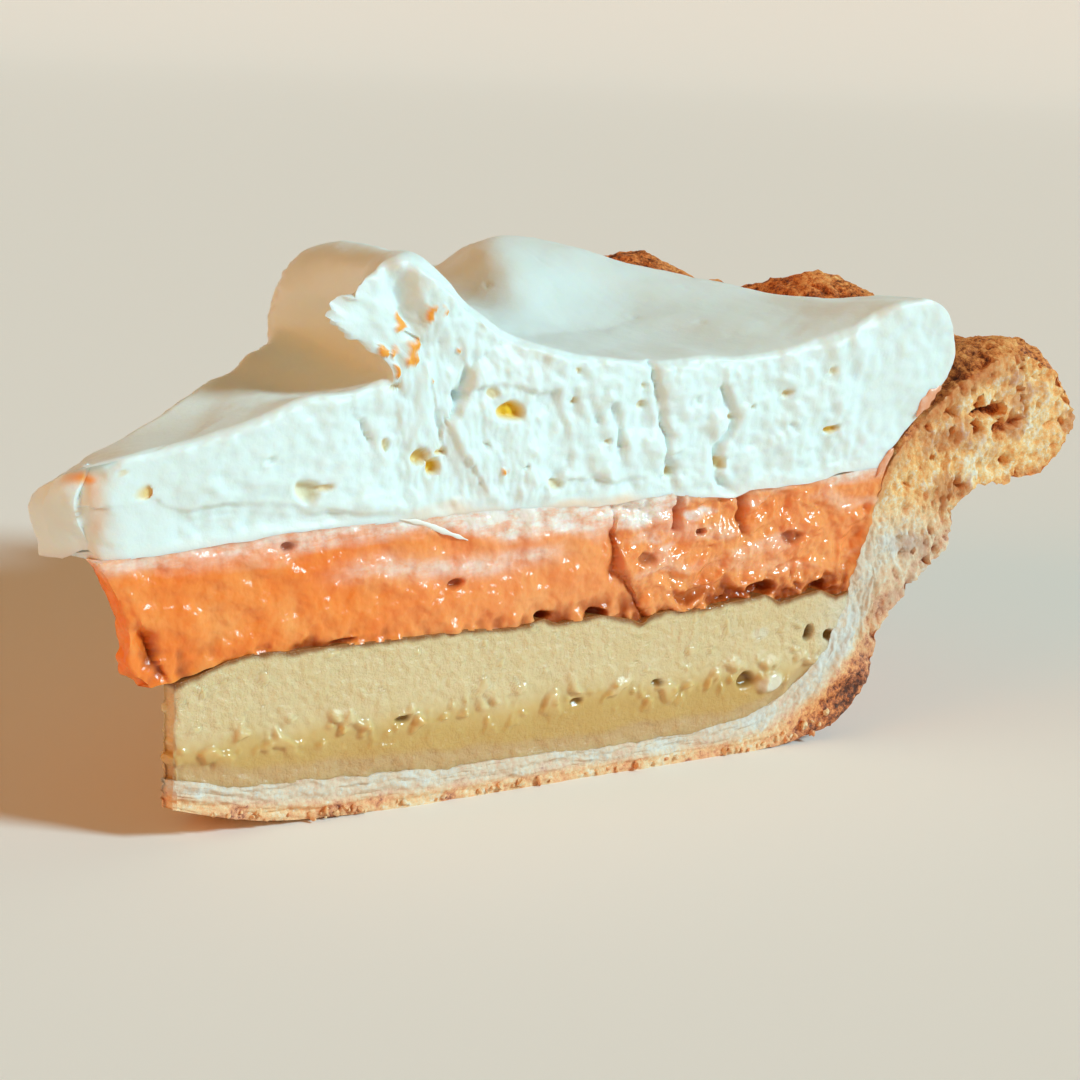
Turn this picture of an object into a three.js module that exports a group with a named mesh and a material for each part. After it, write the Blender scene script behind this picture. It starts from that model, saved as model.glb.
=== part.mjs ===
// A slice of layered candy corn pie: a pastry crust with a crimped rim, a baked yellow custard,
// an orange pudding layer and a thick cap of whipped cream, swept into two swooshes by a spoon.
// Millimetres, +Z up. +X runs from the point of the slice to its rim, midway between the two cuts.
// The origin is on the surface that the slice stands on, under the middle of its outline.
//
// Every layer is one block, bent into place. A block has three directions: `along`, from the point
// to the rim, `across`, from the near cut to the far cut, and `up`, through the layer's thickness.

import * as THREE from "three";
import { ImprovedNoise } from "three/addons/math/ImprovedNoise.js";
import { mergeVertices } from "three/addons/utils/BufferGeometryUtils.js";

// ---------------------------------------------------------------- sizes

const SLICE_ANGLE = THREE.MathUtils.degToRad(45); // an eighth of a 9 inch (229 mm) pie
const ORIGIN_RADIUS = 56.7; // from the centre of the whole pie to the part's origin
const LAYER_GAP = 0.3; // free space between two layers

const CUSTARD_TOP = 17.5;
const CUSTARD_CORNER = 80; // the radius where the crust's floor turns up into its wall
const POINT_SLUMP = 1.7; // the custard's top rounds down by this at its point
const ORANGE_TOP = 30;
const ORANGE_LIFT = 0.9; // the orange layer climbs this much more beside the crust
const ORANGE_LEAN = [2.4, 7.8]; // it leans out past its point by this at its foot and at its top

const FLUTE_PITCH = THREE.MathUtils.degToRad(14); // from one crimp of the rim to the next
const FIRST_FLUTE = THREE.MathUtils.degToRad(3.5); // from the near cut to the first crimp's crest
const FLUTE_HEIGHT = 3.2;
const FLUTE_DEPTH = 1.5; // how far the rim's edge waves in and out
const RIM_RISE = 4.6; // the rim stands this much taller between the two cuts

// Craggy surfaces: how big the crags are and how far they stand out.
const PASTRY_CRAGS = { size: 7, height: 1.1 };
const CUT_CRAGS = {
  crust: { size: 4, height: 0.45 },
  custard: { size: 9, height: 0.3 },
  orange: { size: 5, height: 0.8 },
  cream: { size: 6, height: 0.5 },
};
const CUT_SKIN = 0.06; // the crags of a cut face reach this share of the way to the other one

const CREAM_POINT = -7; // the cream's point is blunt, because the knife dragged it out
const CREAM_DRAG = 14.5; // by this much
const DRAG_LENGTH = 16; // and the drag dies away over this length
const POINT_BULGE = 1.6;
const CREAM_CELLS = [56, 18, 7]; // along, across and up
const CURL_CELLS = 24; // of the cells along the top, this many go over the wave

// The pastry's two skins, as [radius, height] from the point of the slice to the edge of the rim.
// Radii are from the centre of the whole pie.
const CRUST_INSIDE = [
  [2.2, 6.6],
  [12, 4.7],
  [30, 3.6],
  [62, 3.3],
  [74, 4.5],
  [81, 8.6],
  [86.2, 16.5],
  [88.6, 24],
  [90.6, 31],
  [95.8, 37.2],
  [103, 41],
  [110, 42],
  [116.2, 40.2],
  [119, 37],
];
const CRUST_OUTSIDE = [
  [2.2, 3.4],
  [12, 0.8],
  [25, 0],
  [74, 0],
  [84, 1.8],
  [89.6, 6.5],
  [91.6, 13],
  [96, 17.6],
  [100.6, 21.6],
  [101.6, 26],
  [104.5, 27.9],
  [110, 27.7],
  [115.6, 28.6],
  [118.8, 32.2],
];

// The top of the cream, in stations from the point to the rim. Each station has four [radius,
// height] places: on the near cut, a third and two thirds of the way in, and on the far cut.
const CREAM_TOP = [
  [[-7, 38], [-7, 37.2], [-7, 36.2], [-7, 34.8]],
  [[3, 39.9], [3, 39.6], [3, 39.2], [3, 38.7]],
  [[15, 42.9], [15, 42.4], [15, 42.6], [15, 43.2]],
  [[25.4, 45.4], [27.5, 44.8], [30.6, 45.2], [33.6, 47]], // the foot of the wave
  [[21.6, 48.9], [28, 48.4], [31, 48.6], [34, 49.2]],
  [[18, 50.8], [27, 51.8], [30, 51.8], [34, 51.2]], // its lip
  [[22.6, 53.5], [26.8, 55], [30.6, 54.9], [35.6, 53]],
  [[27.4, 57.1], [29.8, 56.8], [34, 56.4], [39, 53.8]], // its crest
  [[34.8, 51.4], [37, 52], [42, 52.4], [46, 51]], // its back
  [[43, 47], [46, 47], [57, 48.6], [60, 48.4]],
  [[56, 45.5], [57, 46.2], [65, 53.4], [90, 46.6]], // the bowl, and the ridge behind it
  [[68, 45.4], [68, 46.6], [71.5, 54.3], [91.2, 46.9]],
  [[79.4, 46.6], [80, 49.2], [79.5, 53.8], [92.4, 47.2]],
  [[88, 50], [87, 49.4], [88, 51.2], [93.5, 47.4]],
  [[94.6, 51], [94.6, 47.8], [94.6, 49], [94.6, 47.5]],
];
const WAVE = { foot: 3, crest: 7, end: 9 }; // its stations
const WAVE_CORE = { behindCrest: 2.6, belowCrest: 6.2 };

// The end of the cream, which lies against the pastry's wall and stands free above it.
const CREAM_END = [
  [89.4, 30],
  [91, 33],
  [94.2, 36.4],
  [96.6, 39],
  [98.8, 41.5],
  [99.8, 44],
  [99.2, 46.8],
  [97.4, 49.4],
  [94.6, 51],
];

// ---------------------------------------------------------------- helpers

const { clamp, lerp, smoothstep } = THREE.MathUtils;
const perlin = new ImprovedNoise();
const fade = (value, full, none) => 1 - smoothstep(value, full, none);
const bump = (value, middle, width) => Math.exp(-(((value - middle) / width) ** 2));

const lerpPoint = (from, to, share) => new THREE.Vector3().lerpVectors(from, to, share);

// How far uneven crags stand out at a place: coarse lumps with finer ones on them.
function cragsAt(x, y, z, { size, height }, seed) {
  const coarse = perlin.noise(x / size + seed, y / size, z / size);
  const fine = perlin.noise((x / size) * 2.3, (y / size) * 2.3 + seed, (z / size) * 2.3);
  return height * (1.4 * coarse + 0.7 * fine);
}

// A smooth line through [radius, height] places. at(share) is the place at a share of its length.
function profileLine(stations) {
  const curve = new THREE.SplineCurve(stations.map(([r, z]) => new THREE.Vector2(r, z)));
  const points = curve.getSpacedPoints(400);
  return {
    at: (share) => curve.getPointAt(clamp(share, 0, 1)),
    radiusAt: (z) => interpolate(points.map((p) => [p.y, p.x]), z),
    heightAt: (r) => interpolate(points.map((p) => [p.x, p.y]), r),
  };
}

// The value at a key, from a table of [key, value]. The last stretch that holds the key counts.
function interpolate(table, key) {
  for (let i = table.length - 1; i > 0; i--) {
    const [k0, v0] = table[i - 1];
    const [k1, v1] = table[i];
    if (k0 <= key && key <= k1) return lerp(v0, v1, (key - k0) / (k1 - k0 || 1));
  }
  return key < table[0][0] ? table[0][1] : table[table.length - 1][1];
}

// Bends a block: `pointAt(along, across, up)` gives the place of each point of its skin.
function bentBlock(name, colour, roughness, [cellsAlong, cellsAcross, cellsUp], pointAt) {
  const box = new THREE.BoxGeometry(1, 1, 1, cellsAlong, cellsAcross, cellsUp);
  box.deleteAttribute("normal");
  box.deleteAttribute("uv");
  const geometry = mergeVertices(box);
  const position = geometry.attributes.position;
  for (let i = 0; i < position.count; i++) {
    const place = pointAt(position.getX(i) + 0.5, position.getY(i) + 0.5, position.getZ(i) + 0.5);
    position.setXYZ(i, place.x, place.y, place.z);
  }
  geometry.computeVertexNormals();
  const material = new THREE.MeshStandardMaterial({ color: colour, roughness, metalness: 0 });
  const mesh = new THREE.Mesh(geometry, material);
  mesh.name = name;
  return mesh;
}

// A point at a radius, at a share of the way from the near cut to the far cut, and at a height.
function inSlice(radius, across, z) {
  const angle = (across - 0.5) * SLICE_ANGLE;
  return new THREE.Vector3(radius * Math.cos(angle), radius * Math.sin(angle), z);
}

const NEAR_CUT_WAY = inSlice(1, 0, 0); // along the near cut, away from the point
const NEAR_CUT_OUT = new THREE.Vector3(-Math.sin(SLICE_ANGLE / 2), -Math.cos(SLICE_ANGLE / 2), 0);
const FAR_CUT_OUT = new THREE.Vector3(-Math.sin(SLICE_ANGLE / 2), Math.cos(SLICE_ANGLE / 2), 0);

// Pushes a point of a cut face out by `depth`, and leaves the inside of the slice alone.
function roughenCuts(place, across, depth) {
  const nearShare = fade(across, 0, CUT_SKIN);
  const farShare = smoothstep(across, 1 - CUT_SKIN, 1);
  return place
    .addScaledVector(NEAR_CUT_OUT, depth * nearShare)
    .addScaledVector(FAR_CUT_OUT, depth * farShare);
}

// ---------------------------------------------------------------- crust

const crustInside = profileLine(CRUST_INSIDE);
const crustOutside = profileLine(CRUST_OUTSIDE);

// The rim's crimps: 1 on a crest and -1 in a valley.
function fluteAt(across) {
  return Math.cos(((across * SLICE_ANGLE - FIRST_FLUTE) / FLUTE_PITCH) * 2 * Math.PI);
}

// The crust is a strip that runs along the floor, up the wall and over the rim. `up` goes through
// the pastry, from its outside to its inside.
function crustPoint(along, across, up) {
  const outside = crustOutside.at(along);
  const inside = crustInside.at(along);
  const roundEnd = smoothstep(along, 0.93, 1) * 4 * up * (1 - up) * 1.4;
  let radius = lerp(outside.x, inside.x, up) + roundEnd;
  let z = lerp(Math.max(outside.y, 0), inside.y, up);

  const flute = fluteAt(across);
  const rim = smoothstep(radius, 99, 112);
  const rise = RIM_RISE * smoothstep(across, 0.1, 0.36) * (1 - smoothstep(across, 0.84, 1));
  z += rim * (rise + FLUTE_HEIGHT * (0.5 + 0.5 * flute)) * lerp(0.45, 1, up);
  radius += rim * FLUTE_DEPTH * (flute - 0.3) * smoothstep(radius, 104, 118);

  const place = inSlice(radius, across, z);
  const isInside = up > 0.5;
  const free = isInside ? smoothstep(radius, 97, 103) : 1; // the filling lies against the rest
  const craggy = smoothstep(radius, 86, 100) * smoothstep(z, 0.5, 6) * free;
  const crags = cragsAt(place.x, place.y, place.z, PASTRY_CRAGS, 3) * craggy;
  place.addScaledVector(inSlice(1, across, 0), isInside ? -crags : crags);
  place.z += crags;
  const onPlate = smoothstep(z, 0.2, 3);
  return roughenCuts(place, across, cragsAt(radius, z, across, CUT_CRAGS.crust, 9) * onPlate);
}

// ---------------------------------------------------------------- custard and orange layer

// The custard's top, which is level but for its point.
const custardTopAt = (radius) => CUSTARD_TOP - POINT_SLUMP * Math.exp(-((radius / 5) ** 2));

// Fills the crust between two heights. A point at share `along` of the layer's length lies between
// the layer's own point and the wall of the crust.
function fillingPoint(along, up, pointRadius, [wallFoot, wallHead], bottomAt, topAt) {
  const wallAt = (share) => crustInside.radiusAt(lerp(wallFoot, wallHead, share)) - LAYER_GAP;
  const radiusAt = (share) => lerp(pointRadius, wallAt(share), along);
  const z = lerp(bottomAt(radiusAt(0)), topAt(radiusAt(1)), up);
  return { radius: radiusAt(up), z };
}

function custardPoint(along, across, up) {
  const floorAt = (r) => crustInside.heightAt(r) + LAYER_GAP;
  const wall = [crustInside.heightAt(CUSTARD_CORNER), CUSTARD_TOP];
  const { radius, z } = fillingPoint(along, up, 2.1, wall, floorAt, custardTopAt);
  const place = inSlice(radius, across, z);
  return roughenCuts(place, across, cragsAt(radius, z, across, CUT_CRAGS.custard, 5));
}

// The orange layer leans out over the custard at the point, and bulges at its foot there.
function orangePoint(along, across, up) {
  const bottomAt = (r) => custardTopAt(r) + LAYER_GAP;
  const topAt = (r) => ORANGE_TOP - LAYER_GAP + ORANGE_LIFT * smoothstep(r, 80, 88);
  const wall = [CUSTARD_TOP + LAYER_GAP, ORANGE_TOP + ORANGE_LIFT];
  const { radius, z } = fillingPoint(along, up, 2.2, wall, bottomAt, topAt);
  const lean = lerp(...ORANGE_LEAN, up) + 1.3 * bump(z, 18.5, 1.8);
  const place = inSlice(radius, across, z);
  place.addScaledVector(NEAR_CUT_WAY, -lean * Math.exp(-(((radius - 2.2) / 9) ** 2)));
  const ragged = lerp(0.35, 1, smoothstep(radius, 50, 62));
  const torn = 0.5 * fade(z, CUSTARD_TOP, CUSTARD_TOP + 4);
  const crags = cragsAt(radius, z, across, CUT_CRAGS.orange, 7) * ragged;
  return roughenCuts(place, across, crags - torn);
}

// ---------------------------------------------------------------- whipped cream

const creamEnd = profileLine(CREAM_END);
const creamRows = [0, 1, 2, 3].map((row) => smoothLine(CREAM_TOP.map((station) => station[row])));

// A smooth line through [x, z] places. at(step) counts in places along it.
function smoothLine(places) {
  const points = places.map(([x, z]) => new THREE.Vector3(x, 0, z));
  const curve = new THREE.CatmullRomCurve3(points, false, "centripetal");
  return { at: (step) => curve.getPoint(clamp(step / (places.length - 1), 0, 1)) };
}

// The top at a station, at a share of the way from the near cut to the far cut.
function creamTop(station, across) {
  const places = creamRows.map((row) => row.at(station));
  return smoothLine(places.map((place) => [place.x, place.z])).at(across * 3);
}

// Steps that space a stretch of the near cut's top evenly.
function evenStations(from, to, cells) {
  const SAMPLES = 400;
  const lengths = [[0, from]];
  for (let i = 1; i <= SAMPLES; i++) {
    const [length, before] = lengths[i - 1];
    const station = lerp(from, to, i / SAMPLES);
    const step = creamRows[0].at(station).distanceTo(creamRows[0].at(before));
    lengths.push([length + step, station]);
  }
  return Array.from({ length: cells }, (_, i) => {
    return interpolate(lengths, (lengths[SAMPLES][0] * i) / cells);
  });
}

const flatCells = CREAM_CELLS[0] - CURL_CELLS;
const pointCells = Math.round(flatCells * 0.38);
const LAST_STATION = CREAM_TOP.length - 1;
const creamStations = [
  ...evenStations(0, WAVE.foot, pointCells),
  ...evenStations(WAVE.foot, WAVE.end, CURL_CELLS),
  ...evenStations(WAVE.end, LAST_STATION, flatCells - pointCells),
  LAST_STATION,
];

// A line up through the cream, from its floor to a station of its top. Lines that end on the wave
// bend at an elbow inside it, so they fan out into its lip and never cross the hollow before it.
function creamLine(station, across, up) {
  const top = creamTop(station, across);
  const foot = creamTop(WAVE.foot, across);
  const crest = creamTop(WAVE.crest, across);
  const end = creamTop(WAVE.end, across);
  const share = clamp((station - WAVE.foot) / (WAVE.end - WAVE.foot), 0, 1);
  const onWave = station > WAVE.foot && station < WAVE.end;
  const floor = new THREE.Vector3(onWave ? lerp(foot.x, end.x, share) : top.x, 0, ORANGE_TOP);

  const { behindCrest, belowCrest } = WAVE_CORE;
  const core = new THREE.Vector3(crest.x + behindCrest, 0, crest.z - belowCrest);
  const rising = station < WAVE.crest;
  const part = rising
    ? (station - WAVE.foot) / (WAVE.crest - WAVE.foot)
    : (station - WAVE.crest) / (WAVE.end - WAVE.crest);
  const elbow = lerpPoint(rising ? foot : core, rising ? core : end, clamp(part, 0, 1));
  elbow.z -= 1.5 * (1 - Math.sin(Math.PI * share));
  if (!onWave) elbow.copy(lerpPoint(floor, top, 0.9));

  const lower = elbow.distanceTo(floor);
  const upper = top.distanceTo(elbow);
  const reach = up * (lower + upper);
  return reach < lower
    ? lerpPoint(floor, elbow, reach / lower)
    : lerpPoint(elbow, top, (reach - lower) / upper);
}

function creamPoint(along, across, up) {
  const station = creamStations[Math.round(along * CREAM_CELLS[0])];
  const { x, z } = creamLine(station, across, up);
  const endTop = creamEnd.at(1);
  const endRadius = creamEnd.radiusAt(Math.min(z, endTop.y));
  const toWall = smoothstep(x, 78, endTop.x) * (endRadius - endTop.x);
  const raised = ORANGE_LIFT * smoothstep(x, 80, 88) * fade(z, ORANGE_TOP, ORANGE_TOP + 4);
  const drag = CREAM_DRAG * Math.exp(-(((x - CREAM_POINT) / DRAG_LENGTH) ** 2));
  const radius = x + drag + toWall;
  const place = inSlice(radius, across, z + raised);
  const bulge = POINT_BULGE * bump(z, 34, 3) * fade(x, CREAM_POINT, CREAM_POINT + 5);
  place.addScaledVector(NEAR_CUT_WAY, -drag - bulge);
  const crags = cragsAt(x, z, across, CUT_CRAGS.cream, 11);
  return roughenCuts(place, across, crags * smoothstep(z, ORANGE_TOP, ORANGE_TOP + 3));
}

// ---------------------------------------------------------------- the slice

const slice = new THREE.Group();
slice.add(
  bentBlock("crust", "#c98a4b", 0.85, [46, 20, 4], crustPoint),
  bentBlock("custard", "#d9c385", 0.4, [20, 8, 3], custardPoint),
  bentBlock("orange_layer", "#e8874a", 0.35, [30, 8, 4], orangePoint),
  bentBlock("whipped_cream", "#f2f1e6", 0.5, CREAM_CELLS, creamPoint),
);
slice.position.x = -ORIGIN_RADIUS;

export default slice;
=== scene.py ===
# %% [markdown]
# # A slice of candy corn pie
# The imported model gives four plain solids: pastry, custard, an orange layer and whipped cream. This
# lesson dresses each of them as food. Every layer is one block that is bent into place, so a point of
# its skin has three shares: `along`, from the point of the slice to the rim, `across`, from the near
# cut to the far cut, and `up`, through the layer. Relief is then carved into the skin with noise.

import math

import bmesh
import bpy
import numpy as np
from mathutils import Matrix, Vector


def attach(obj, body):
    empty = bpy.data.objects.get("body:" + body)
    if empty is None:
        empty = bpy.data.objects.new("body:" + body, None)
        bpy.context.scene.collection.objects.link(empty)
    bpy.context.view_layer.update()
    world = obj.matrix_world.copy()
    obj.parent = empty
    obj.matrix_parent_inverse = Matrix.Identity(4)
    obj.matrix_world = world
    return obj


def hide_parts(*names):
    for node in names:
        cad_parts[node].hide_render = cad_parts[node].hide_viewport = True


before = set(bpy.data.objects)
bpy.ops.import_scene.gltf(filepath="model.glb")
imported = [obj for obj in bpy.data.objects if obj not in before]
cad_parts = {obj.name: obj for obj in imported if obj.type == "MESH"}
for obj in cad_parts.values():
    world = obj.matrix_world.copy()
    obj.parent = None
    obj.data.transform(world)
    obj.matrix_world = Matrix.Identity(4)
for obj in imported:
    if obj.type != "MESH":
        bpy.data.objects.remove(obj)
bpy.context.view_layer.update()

# %% [markdown]
# ## Where things are
# Sizes below are millimetres. The slice is an eighth of a round pie, whose centre lies a little
# behind the slice's point. Polar coordinates round that centre suit everything baked in the dish.

# %% Slice coordinates
MM = 0.001
SLICE_ANGLE = math.radians(45)
PIE_CENTRE = -56.7  # x of the whole pie's centre


def columns(*numbers):
    """Coordinates from separate arrays. A single number is repeated down its column."""
    return np.stack(np.broadcast_arrays(*numbers), axis=-1)


def in_slice(radius, across, height):
    """Polar to plain coordinates: the angle is the share across, times the slice's angle."""
    angle = (across - 0.5) * SLICE_ANGLE
    return columns(PIE_CENTRE + radius * np.cos(angle), radius * np.sin(angle), height)


CENTRE = in_slice(0.0, np.array(0.0), 0.0)
NEAR_WAY = in_slice(1.0, np.array(0.0), 0.0) - CENTRE  # along the near cut, towards the rim
FAR_WAY = in_slice(1.0, np.array(1.0), 0.0) - CENTRE
NEAR_OUT = np.array([NEAR_WAY[1], -NEAR_WAY[0], 0.0])
FAR_OUT = np.array([-FAR_WAY[1], FAR_WAY[0], 0.0])
print("the near cut runs along", NEAR_WAY.round(3))

# %% [markdown]
# ## The camera
# It looks down a little, from the side of the slice's point. It was placed by fitting the edges of
# the near cut, and it is rolled by a few degrees as a hand-held camera is.

# %% Camera
CAMERA_PLACE = Vector((-223.6, -155.6, 81.5)) * MM
CAMERA_LOOK = Vector((0.8113, 0.5442, -0.2136))
CAMERA_ROLL = math.radians(2.61)

camera = bpy.data.objects.new("camera", bpy.data.cameras.new("camera"))
camera.data.lens = 81.6
camera.data.sensor_width = 36.0
camera.data.clip_start = 0.01
turn = CAMERA_LOOK.to_track_quat("-Z", "Y").to_matrix().to_4x4()
roll = Matrix.Rotation(CAMERA_ROLL, 4, "Z")
camera.matrix_world = Matrix.Translation(CAMERA_PLACE) @ turn @ roll
bpy.context.scene.collection.objects.link(camera)
bpy.context.scene.camera = camera
print("the camera stands", round(CAMERA_PLACE.length, 3), "m from the middle of the slice")

# %% [markdown]
# ## Noise
# Food has no straight surface, so most of its relief is noise. Two kinds are enough: gradient noise
# for lumps and grain, and cell noise for plates, blisters and pores. Blender's own noise could be asked
# place by place, but whole arrays are many times faster.

# %% Dice and blends
dice = np.random.default_rng(11)
SHUFFLE = dice.permutation(256)
SLOPES = dice.normal(size=(256, 3))
SLOPES /= np.linalg.norm(SLOPES, axis=1, keepdims=True)
SCATTER = dice.random((256, 3))


def smooth(value, low, high):
    """0 below low, 1 above high, and 3t^2 - 2t^3 between them."""
    t = np.clip((value - low) / (high - low), 0.0, 1.0)
    return t * t * (3.0 - 2.0 * t)


def hill(value, middle, width):
    """A bell: exp(-((value - middle) / width)^2)."""
    return np.exp(-(((value - middle) / width) ** 2))


def blend(low, high, share):
    """low + (high - low) * share."""
    return low + (high - low) * share


# %% Gradient noise


def corner_number(corner, seed):
    """A shuffled number from 0 to 255 for each whole-numbered corner of a lattice."""
    number = (corner[:, 0] + seed * 57) & 255
    number = (SHUFFLE[number] + corner[:, 1]) & 255
    number = (SHUFFLE[number] + corner[:, 2]) & 255
    return SHUFFLE[number]


def noise(places, size, seed=0):
    """Gradient noise: each lattice corner has a random slope, and a place mixes its 8 corners'."""
    scaled = places / size
    base = np.floor(scaled).astype(int)
    inside = scaled - base
    ease = inside**3 * (inside * (inside * 6.0 - 15.0) + 10.0)
    total = np.zeros(len(places))
    for offset in np.ndindex(2, 2, 2):
        step = np.array(offset)
        slope = SLOPES[corner_number(base + step, seed)]
        weight = np.prod(np.where(step, ease, 1.0 - ease), axis=1)
        total += weight * np.sum(slope * (inside - step), axis=1)
    return 1.6 * total


def lumps(places, size, octaves=3, gain=0.5, seed=0):
    """Sum of noises, each half as big as the one before and `gain` times as strong."""
    return sum(gain**k * noise(places, size / 2**k, seed + k) for k in range(octaves))


# %% Cell noise


def cells(places, size, seed=0):
    """Cell noise: distances to the nearest and second nearest scattered seeds, and a random value."""
    scaled = places / size
    base = np.floor(scaled).astype(int)
    nearest = np.full(len(places), 9.0)
    second = np.full(len(places), 9.0)
    value = np.zeros(len(places))
    for offset in np.ndindex(3, 3, 3):
        corner = base + np.array(offset) - 1
        number = corner_number(corner, seed)
        away = np.linalg.norm(corner + SCATTER[number] - scaled, axis=1)
        closer = away < nearest
        second = np.where(closer, nearest, np.minimum(second, away))
        value = np.where(closer, SCATTER[(number + 91) & 255, 0], value)
        nearest = np.where(closer, away, nearest)
    return nearest, second, value


print("lumps at the pie's centre reach", lumps(CENTRE[None], 3).round(2))

# %% [markdown]
# Some marks have a place of their own: a tear, a ledge, an opened bubble. A tear is a line of points on
# the cut, and what a place needs to know is how far away the line is and on which side.

# %% Tears, bubbles and seams


def tear(x, z, line):
    """Distance from each place to a line of points, and +1 where the place is left of it, else -1."""
    nearest = np.full(len(x), 99.0)
    side = np.zeros(len(x))
    for (x0, z0), (x1, z1) in zip(line[:-1], line[1:]):
        step_x, step_z = x1 - x0, z1 - z0
        share = ((x - x0) * step_x + (z - z0) * step_z) / (step_x**2 + step_z**2)
        share = np.clip(share, 0.0, 1.0)
        away = np.hypot(x - blend(x0, x1, share), z - blend(z0, z1, share))
        turn = np.sign(step_x * (z - z0) - step_z * (x - x0))
        side = np.where(away < nearest, turn, side)
        nearest = np.minimum(nearest, away)
    return nearest, side


def bubble(x, z, place_x, place_z, width, flatness):
    """1 inside an ellipse on the cut and 0 outside, with a steep but soft wall."""
    away = np.hypot((x - place_x) / width, (z - place_z) / (width * flatness))
    return smooth(away, 1.15, 0.55)


def open_bubbles(x, z, table, share, tints):
    """The depths of a table of bubbles, added up, and the strongest of their tints at each place."""
    depth = np.zeros(len(x))
    mark = np.zeros(len(x))
    for (*shape, hole_depth), tint in zip(table, tints):
        spot = bubble(x, z, *shape) * share
        depth += hole_depth * spot
        mark = np.maximum(mark, tint * spot)
    return depth, mark


def height_along(x, line):
    """The height of a line of points at x."""
    xs, zs = np.array(line).T
    return np.interp(x, xs, zs)


# %% [markdown]
# ## Smooth lines through a few places
# A baker's shapes are soft, so the profiles are Catmull-Rom curves: each passes through its places
# and leaves each one in the direction of its two neighbours. Spacing the knots by the square root of
# the distance keeps the curve from looping where places lie close.

# %% Smooth lines


def between(before, start, end, after, share):
    """The cubic from start to end whose end slopes come from the four places, in arrays."""
    gap0 = np.maximum(np.linalg.norm(start - before, axis=-1, keepdims=True), 1e-6) ** 0.5
    gap1 = np.maximum(np.linalg.norm(end - start, axis=-1, keepdims=True), 1e-6) ** 0.5
    gap2 = np.maximum(np.linalg.norm(after - end, axis=-1, keepdims=True), 1e-6) ** 0.5
    chord = (end - start) / gap1
    slope0 = ((start - before) / gap0 - (end - before) / (gap0 + gap1) + chord) * gap1
    slope1 = (chord - (after - start) / (gap1 + gap2) + (after - end) / gap2) * gap1
    t = share[..., None]
    cubic = 2 * start - 2 * end + slope0 + slope1
    square = -3 * start + 3 * end - 2 * slope0 - slope1
    return start + t * (slope0 + t * (square + t * cubic))


def smooth_line(places, steps):
    """Places on the line at `steps`, which count in given places. The last axis is x, z."""
    places = np.asarray(places, float)
    first = 2 * places[..., :1, :] - places[..., 1:2, :]
    last = 2 * places[..., -1:, :] - places[..., -2:-1, :]
    padded = np.concatenate([first, places, last], axis=-2)
    segment = np.clip(np.floor(steps).astype(int), 0, places.shape[-2] - 2)
    if padded.ndim == 2:
        four = [padded[segment + k] for k in range(4)]
    else:
        rows = np.arange(len(padded))
        four = [padded[rows, segment + k] for k in range(4)]
    return between(*four, steps - segment)


def lengths_along(fine):
    """How far along a fine line each of its places lies: the short chords, added up."""
    return np.concatenate([[0.0], np.cumsum(np.linalg.norm(np.diff(fine, axis=0), axis=1))])


def even_line(places, shares, samples=900):
    """Places at shares of the line's length."""
    fine = smooth_line(places, np.linspace(0, len(places) - 1, samples))
    length = lengths_along(fine)
    wanted = np.asarray(shares) * length[-1]
    return columns(*(np.interp(wanted, length, line) for line in fine.T))


# %% [markdown]
# ## The skin of a block
# A block is a grid of cells, of which only the skin is kept. Where a face of the block is hidden by
# the next layer, one long polygon from cut to cut does the work of a row of small ones, which leaves
# more of them for the cuts that show.

# %% Block skin


def block_faces(counts, dense_top, dense_bottom):
    """Shares and faces of a block's skin.

    counts are cells along, across and up. dense_top and dense_bottom are the first cell along from
    which the top and bottom faces are made of small cells.
    """
    cells_along, cells_across, cells_up = counts
    shape = (cells_along + 1, cells_across + 1, cells_up + 1)
    skin = np.zeros(shape, bool)
    for axis in range(3):
        np.moveaxis(skin, axis, 0)[[0, -1]] = True
    number = np.full(shape, -1)
    number[skin] = np.arange(skin.sum())

    def quads(sheet, turned=False):
        ring = [sheet[:-1, :-1], sheet[1:, :-1], sheet[1:, 1:], sheet[:-1, 1:]]
        faces = np.stack(ring[::-1] if turned else ring, axis=-1)
        return faces.reshape(-1, 4)

    small = [
        quads(number[:, 0, :]),
        quads(number[:, -1, :], turned=True),
        quads(number[0], turned=True),
        quads(number[-1]),
        quads(number[dense_top:, :, -1]),
        quads(number[dense_bottom:, :, 0], turned=True),
    ]
    long = []
    for sheet, dense, turned in ((number[:, :, -1], dense_top, False), (number[:, :, 0], dense_bottom, True)):
        for i in range(dense):
            rim = sheet[i + 1] if i + 1 == dense else sheet[i + 1, [0, -1]]
            point = sheet[i] if i == 0 else sheet[i, [0, -1]]
            ring = list(rim) + list(point[::-1])
            long.append([int(n) for n in (ring[::-1] if turned else ring)])
    return np.argwhere(skin), np.concatenate(small), long


# %% [markdown]
# Relief moves each place the way its skin faces, so the skin's normals are needed as an array. Then a
# mesh is made from places and faces in one go, and the marks go on its vertices.

# %% Normals and pieces


def vertex_normals(places, faces):
    """Each vertex points the way of its faces' mean, each face weighed by its area."""
    diagonal0 = places[faces[:, 2]] - places[faces[:, 0]]
    diagonal1 = places[faces[:, 3]] - places[faces[:, 1]]
    face_normals = np.cross(diagonal0, diagonal1)
    total = np.zeros_like(places)
    for k in range(4):
        for axis in range(3):
            total[:, axis] += np.bincount(faces[:, k], face_normals[:, axis], len(places))
    return total / np.maximum(np.linalg.norm(total, axis=1, keepdims=True), 1e-9)


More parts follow.
